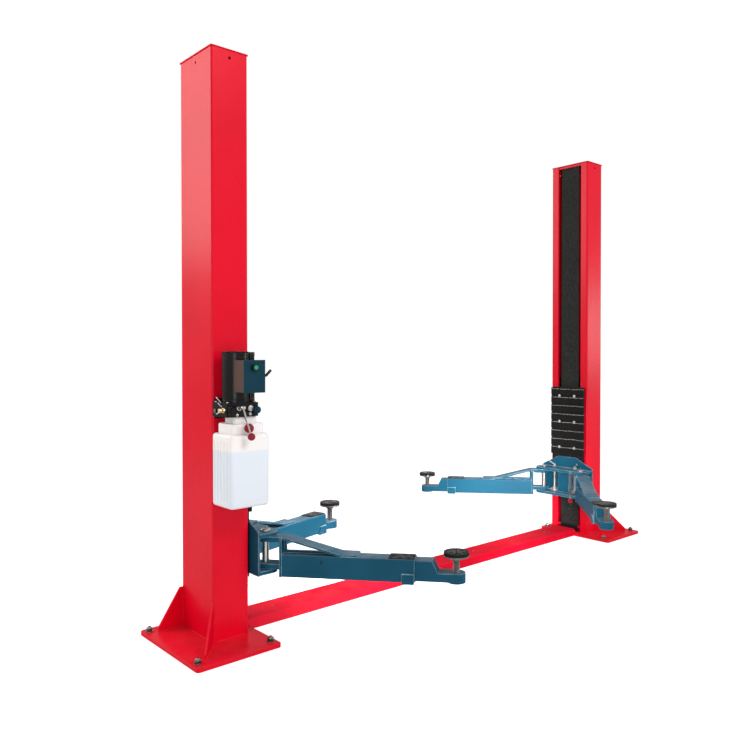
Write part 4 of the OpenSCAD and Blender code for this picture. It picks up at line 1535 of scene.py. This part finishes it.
@dataclass
class PowerUnit(Assembly):
    """The motor, control box, pump block, levers and tank on the left post."""

    motor: tuple[float, float] = (-1.576, -0.257)
    motor_radius: float = 0.061
    motor_low: float = 1.156
    motor_high: float = 1.386
    capacitor: float = 0.082
    box_low: Point = (-1.6135, -0.403, 1.206)
    box_high: Point = (-1.5075, -0.313, 1.351)
    button: tuple[float, float] = (-1.5635, 1.319)
    pump_low: Point = (-1.658, -0.322, 1.092)
    pump_high: Point = (-1.494, -0.192, 1.156)
    lever: Point = (-1.614, -0.392, 1.138)
    tank_low: Point = (-1.652, -0.350, 0.675)
    tank_high: Point = (-1.445, -0.165, 1.013)
    tank_round: float = 0.024
    tank_foot: float = 0.015
    tank_step: float = 0.019
    tank_shoulder: float = 0.047
    tank_neck_step: float = 0.041
    tank_neck: float = 0.032

    def build(self) -> None:
        """Dresses the power unit and adds its small pieces."""
        for node in ("motor", "wall_bracket", "pump_block"):
            self.dress(node, self.finishes.black, 0.0014)
        self.dress("control_box", self.finishes.box, 0.0014)
        self.dress("control_cover", self.finishes.teal, 0.0012)
        self.dress("start_button", self.finishes.green, 0.0012)
        self.dress("valve_knob", self.finishes.knob, 0.0)
        self.dress("lowering_lever", self.finishes.lever, 0.0)
        self.add_motor_parts()
        self.add_box_parts()
        self.add_pump_parts()
        self.add_tank()

    @staticmethod
    def tier(name: str, low: Point, high: Point, corner: float, edge: float) -> bpy.types.Object:
        """Makes one blown tier of the tank.

        Args:
            name: the object's name.
            low: its lower corner.
            high: its upper corner.
            corner: radius of the upright corners.
            edge: width of the rounding above and below.

        Returns:
            The tier.
        """
        tier = block(name, low, high)
        only(tier)
        bpy.ops.object.mode_set(mode="EDIT")
        bpy.ops.mesh.select_mode(type="EDGE")
        bpy.ops.mesh.select_all(action="DESELECT")
        bpy.ops.object.mode_set(mode="OBJECT")
        for line in tier.data.edges:
            first, last = (tier.data.vertices[index].co for index in line.vertices)
            line.select = (first.xy - last.xy).length < 0.001
        bpy.ops.object.mode_set(mode="EDIT")
        bpy.ops.mesh.bevel(offset=corner, segments=6, affect="EDGES")
        leave()
        modify(tier, "BEVEL", width=edge, segments=4, limit_method="ANGLE", angle_limit=0.9)
        return tier

    def add_tank(self) -> None:
        """Adds the blow-moulded tank with soft edges and ribbed sides, in place of its solid."""
        low, high = self.tank_low, self.tank_high
        tank = self.tier("tank_shell", low, high, self.tank_round, self.tank_foot)
        base, tiers = high[2], []
        for step, tall in ((self.tank_step, self.tank_shoulder), (self.tank_neck_step, self.tank_neck)):
            tiers.append(
                self.tier(
                    "t",
                    (low[0] + step, low[1] + step, base - 0.020),
                    (high[0] - step, high[1] - step, base + tall),
                    self.tank_round,
                    self.tank_foot / 2,
                )
            )
            base += tall
        grooves = []
        for x in (low[0], high[0]):
            for index in range(-2, 3):
                y = (low[1] + high[1]) / 2 + index * 0.029
                top = high[2] - 0.034
                groove = rod("g", 0.0058, (x, y, low[2] + 0.028), (x, y, top), 13)
                grooves.append(rounded(groove, 0.0040, 3))
        cutter = joined("grooves", grooves)
        modify(tank, "BOOLEAN", operation="DIFFERENCE", object=cutter, solver="EXACT")
        discard(cutter)
        only(joined("tank_shell", [tank, *tiers]))
        bpy.ops.object.shade_smooth_by_angle(angle=0.7)
        self.keep(tank, "frame", "tank_plastic", self.finishes.tank)
        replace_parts(tank, "oil_tank")

    def add_motor_parts(self) -> None:
        """Adds the fan cowl, the through bolts and the capacitor's cap."""
        x, y = self.motor
        z = self.motor_high
        cowl = rod("cowl", self.motor_radius - 0.006, (x, y, z), (x, y, z + 0.006), 48)
        rounded(cowl, 0.002)
        raise_faces(cowl, lambda f: f.normal.z > 0.9 and len(f.vertices) > 8, 0.016, 0.0)

        def slot(face: bpy.types.MeshPolygon) -> bool:
            """Whether a face is every other one of the cowl's ring."""
            out = Vector((face.center.x - x, face.center.y - y, 0.0))
            turn = math.degrees(math.atan2(out.y, out.x)) % 15.0
            return face.normal.z > 0.9 and 0.038 < out.length < 0.050 and turn < 7.5

        raise_faces(cowl, slot, 0.0008, -0.004, apart=True)
        parts = [cowl]
        for index in range(4):
            turn = math.pi / 4 + index * math.pi / 2
            bx, by = x + 0.0575 * math.cos(turn), y + 0.0575 * math.sin(turn)
            parts.append(hex_nut("b", 0.008, (bx, by, z), 0.005))
            parts.append(hex_nut("b", 0.008, (bx, by, self.motor_low + 0.010), 0.005))
        for low in (self.motor_low + 0.016, z - 0.026):
            ring = hoop("r", self.motor_radius - 0.0002, 0.0016, (x, y, low), (0.0, 0.0, 0.0))
            only(ring)
            bpy.ops.object.shade_smooth()
            parts.append(ring)
        self.keep(joined("motor_fittings", parts), "frame", "black_paint", self.finishes.black)
        cx = x + self.capacitor
        cap = rounded(rod("cap", 0.0178, (cx, y, z - 0.018), (cx, y, z + 0.003), 36), 0.003, 3)
        base = rounded(rod("cap", 0.0178, (cx, y, self.motor_low), (cx, y, self.motor_low + 0.020), 36), 0.003, 3)
        self.keep(joined("capacitor_caps", [cap, base]), "frame", "black_paint", self.finishes.jet)

    def add_box_parts(self) -> None:
        """Adds the cover's screws, the button's collar and the switch lever."""
        face = self.box_low[1]
        turn = Matrix.Rotation(math.pi / 2, 4, "X")
        head = cap_screw("head", 0.0042, (0, 0, 0), 0.0024)
        heads = []
        for x in (self.box_low[0] + 0.009, self.box_high[0] - 0.009):
            for z in (self.box_low[2] + 0.009, self.box_high[2] - 0.009):
                heads.append(carried(head, "h", Matrix.Translation((x, face, z)) @ turn))
        discard(head)
        self.keep(joined("cover_box_screws", heads), "frame", "steel", self.finishes.teal)
        bx, bz = self.button
        collar = rod("button_collar", 0.0165, (bx, face, bz), (bx, face - 0.0165, bz), 40)
        raise_faces(collar, lambda f: f.normal.y < -0.9, 0.0055, -0.014)
        rounded(collar, 0.0010)
        self.keep(collar, "frame", "black_paint", self.finishes.jet)
        x, y, z = self.box_high[0], -0.380, 1.268
        boot = rounded(rod("boot", 0.010, (x - 0.001, y, z), (x + 0.010, y, z + 0.006), 24), 0.003, 3)
        stem = rounded(rod("stem", 0.0034, (x + 0.006, y, z + 0.002), (x + 0.022, y, z + 0.014), 16), 0.0008)
        grip = rounded(rod("arm", 0.0064, (x + 0.018, y, z + 0.011), (x + 0.046, y, z + 0.038), 20), 0.003, 3)
        lever = joined("switch_lever", [boot, stem, grip])
        self.keep(lever, "frame", "black_paint", self.finishes.jet)

    def add_pump_parts(self) -> None:
        """Adds the pump block's plugs, bolts, valve, brass nipple, black seat and three thin bright rods that
        stand in for highlight strokes on its fittings.
        """
        low, high = self.pump_low, self.pump_high
        side = Matrix.Rotation(-math.pi / 2, 4, "Y")
        front = Matrix.Rotation(math.pi / 2, 4, "X")
        bright, yellow = [], []
        plug = hex_nut("side_plug", 0.018, (0, 0, 0), 0.007)
        place = Matrix.Translation((low[0], -0.222, 1.118)) @ side
        self.keep(carried(plug, "pump_side_plug", place), "frame", "steel", self.finishes.anchor)
        discard(plug)
        nipple = hex_nut("n", 0.022, (0, 0, 0), 0.009)
        stem = rounded(rod("n", 0.0085, (0, 0, 0.009), (0, 0, 0.030), 24), 0.001)
        tip = rounded(rod("n", 0.0105, (0, 0, 0.016), (0, 0, 0.024), 6), 0.0008)
        nipple = joined("n", [nipple, stem, tip])
        yellow.append(carried(nipple, "n", Matrix.Translation((low[0], low[1] + 0.019, 1.124)) @ side))
        discard(nipple)
        x, y = low[0] - 0.001, low[1]
        # Three thin bright rods stand in for highlight strokes on the fittings, a painted highlight.
        for (first, low_z), (last, high_z) in (
            ((0.040, 1.138), (0.066, 1.156)),
            ((0.048, 1.157), (0.082, 1.182)),
            ((0.052, 1.116), (0.082, 1.104)),
        ):
            wire = rod("w", 0.0026, (x, y + first, low_z), (x - 0.006, y + last, high_z), 12)
            bright.append(rounded(wire, 0.0008))
        seat = block("pump_seat", (low[0] + 0.004, low[1] - 0.010, 1.100), (low[0] + 0.034, low[1] + 0.002, 1.140))
        self.keep(rounded(seat, 0.002), "frame", "black_paint", self.finishes.black)
        for x, z, across, tall in (
            (-1.541, 1.130, 0.026, 0.014),
            (-1.540, 1.104, 0.014, 0.008),
            (-1.608, 1.102, 0.012, 0.008),
        ):
            plug = hex_nut("p", across, (0, 0, 0), tall)
            bright.append(carried(plug, "p", Matrix.Translation((x, low[1], z)) @ front))
            discard(plug)
        for x in (low[0] + 0.012, high[0] - 0.012):
            for y in (low[1] + 0.012, high[1] - 0.012):
                bright.append(cap_screw("c", 0.0065, (x, y, high[2]), 0.006))
        self.keep(joined("pump_plugs", bright), "frame", "steel", self.finishes.steel)
        self.keep(joined("pump_nipple", yellow), "frame", "steel", self.finishes.brass)
        coil = rod("valve_coil", 0.0165, (-1.511, low[1] + 0.001, 1.122), (-1.511, low[1] - 0.026, 1.122), 36)
        raise_faces(coil, lambda f: f.normal.y < -0.9, 0.006, -0.002)
        raise_faces(coil, lambda f: f.normal.y < -0.9 and f.area > 0.00015, 0.001, 0.006)
        self.keep(rounded(coil, 0.0015), "frame", "black_paint", self.finishes.teal)
        x, y, z = self.lever
        cap = hex_nut("c", 0.013, (0, 0, 0), 0.005)
        end = carried(cap, "valve_nut", Matrix.Translation((x, y - 0.006, z)) @ front)
        discard(cap)
        self.keep(end, "frame", "steel", self.finishes.steel)
        ring = hoop("valve_ring", 0.0095, 0.0022, (x - 0.012, y + 0.016, z - 0.004), (0.9, 0.5, 0.0))
        only(ring)
        bpy.ops.object.shade_smooth()
        self.keep(ring, "frame", "steel", self.finishes.steel)


def seen_as_white(graph: Graph, path: bpy.types.Node) -> bpy.types.NodeSocket:
    """Tells the rays that see the plain white backdrop from those that light the lift.

    Args:
        graph: the tree.
        path: its Light Path node.

    Returns:
        The socket that is 1 for camera, gloss and transmission rays.
    """
    shiny = graph.add("Math", operation="MAXIMUM")
    graph.join(path.outputs["Is Glossy Ray"], shiny.inputs[0])
    graph.join(path.outputs["Is Transmission Ray"], shiny.inputs[1])
    seen = graph.add("Math", operation="MAXIMUM")
    graph.join(path.outputs["Is Camera Ray"], seen.inputs[0])
    graph.join(shiny.outputs[0], seen.inputs[1])
    return seen.outputs[0]


@dataclass
class Studio:
    """The camera, lamps, backdrop and floor."""

    eye: Point = (-3.3094, -3.2927, 1.3847)
    heading: float = 0.7394
    pitch: float = -0.0124
    lens: float = 35.264
    shift: tuple[float, float] = (-0.0334, -0.0173)
    ambient: float = 0.56

    def build(self) -> None:
        """Sets up everything that isn't the lift."""
        scene = bpy.context.scene
        scene.view_settings.view_transform = "Standard"
        self.add_camera(scene)
        self.add_world(scene)
        self.add_floor()
        self.add_lamp("left_high", (-4.7, 4.3, 4.0), (-1.6, 0.0, 1.4), 3.2, 185.0, tint=(1.0, 0.95, 0.90))
        self.add_lamp("right", (9.9, -5.75, 1.9), (0.4, -0.2, 1.3), 1.5, 110.0)
        self.add_lamp("key", (0.9, -8.8, 8.2), (-0.6, 0.0, 0.8), 4.0, 460.0)
        self.add_lamp("by_camera", (-5.0, -5.1, 1.1), (1.0, 0.3, 0.6), 2.0, 60.0)
        self.add_lamp("inner_right", (-0.3, -1.3, 0.8), (1.0, 0.35, 0.40), 0.5, 9.5, 0.75)
        self.add_lamp("inner_left", (0.3, -1.6, 2.2), (-0.6, 0.0, 0.40), 0.5, 7.0, 0.55)

    def add_camera(self, scene: bpy.types.Scene) -> None:
        """Adds the camera at the photograph's place."""
        data = bpy.data.cameras.new("camera")
        data.sensor_width = 36.0
        data.lens = self.lens
        data.shift_x, data.shift_y = self.shift
        data.clip_end = 200.0
        camera = bpy.data.objects.new("camera", data)
        camera.location = self.eye
        camera.rotation_euler = (math.pi / 2 + self.pitch, 0.0, -self.heading)
        scene.collection.objects.link(camera)
        scene.camera = camera

    def add_world(self, scene: bpy.types.Scene) -> None:
        """Adds the soft room light, with plain white where the camera and gloss see it."""
        world = bpy.data.worlds.new("room")
        world.use_nodes = True
        world.node_tree.nodes.clear()
        graph = Graph(world.node_tree)
        path = graph.add("LightPath")
        light, white = graph.add("Background"), graph.add("Background")
        light.inputs["Strength"].default_value = self.ambient
        for glow in (light, white):
            glow.inputs["Color"].default_value = (1.0, 1.0, 1.0, 1.0)
        white.inputs["Strength"].default_value = 1.0
        mix = graph.add("MixShader")
        graph.join(seen_as_white(graph, path), mix.inputs[0])
        graph.join(light.outputs[0], mix.inputs[1])
        graph.join(white.outputs[0], mix.inputs[2])
        graph.join(mix.outputs[0], graph.add("OutputWorld").inputs[0])
        scene.world = world

    def add_floor(self) -> None:
        """Adds a pale floor that keeps the lift's shadow."""
        clear_selection()
        bpy.ops.mesh.primitive_plane_add(size=60.0, location=(0.0, 0.0, -0.0006))
        floor = settle(bpy.context.object, "floor")
        material = bpy.data.materials.new("pale_floor")
        material.use_nodes = True
        material.node_tree.nodes.clear()
        graph = Graph(material.node_tree)
        path = graph.add("LightPath")
        diffuse = graph.add("BsdfDiffuse")
        diffuse.inputs["Color"].default_value = (0.80, 0.80, 0.80, 1.0)
        glow = graph.add("Emission")
        shiny = graph.times(seen_as_white(graph, path), 0.12)
        strength = graph.add("Math", operation="MAXIMUM")
        graph.join(graph.times(path.outputs["Is Camera Ray"], 0.56), strength.inputs[0])
        graph.join(shiny, strength.inputs[1])
        graph.join(strength.outputs[0], glow.inputs["Strength"])
        both = graph.add("AddShader")
        graph.join(diffuse.outputs[0], both.inputs[0])
        graph.join(glow.outputs[0], both.inputs[1])
        graph.join(both.outputs[0], graph.add("OutputMaterial").inputs[0])
        floor.data.materials.append(material)

    @staticmethod
    def add_lamp(
        name: str,
        at: Point,
        towards: Point,
        size: float,
        power: float,
        spread: float = math.pi,
        tint: Colour = (1.0, 1.0, 1.0),
    ) -> None:
        """Adds a soft square lamp.

        Args:
            name: the lamp's name.
            at: its place.
            towards: the point that it shines at.
            size: its side.
            power: its power in watts.
            spread: the angle over which it shines.
            tint: its colour.
        """
        data = bpy.data.lights.new(name, "AREA")
        data.shape = "SQUARE"
        data.size = size
        data.energy = power
        data.spread = spread
        data.color = tint
        lamp = bpy.data.objects.new(name, data)
        lamp.location = at
        lamp.rotation_euler = (Vector(towards) - Vector(at)).to_track_quat("-Z", "Y").to_euler()
        lamp.visible_camera = False
        bpy.context.scene.collection.objects.link(lamp)


def main() -> None:
    """Builds the studio and every sub-assembly."""
    logging.basicConfig(level=logging.INFO, format="%(name)s: %(message)s")
    Studio().build()
    for assembly in (Posts(), FloorCover(), Curtains(), Carriages(), Arms(), PowerUnit()):
        assembly.build()


if __name__ == "__main__":
    main()
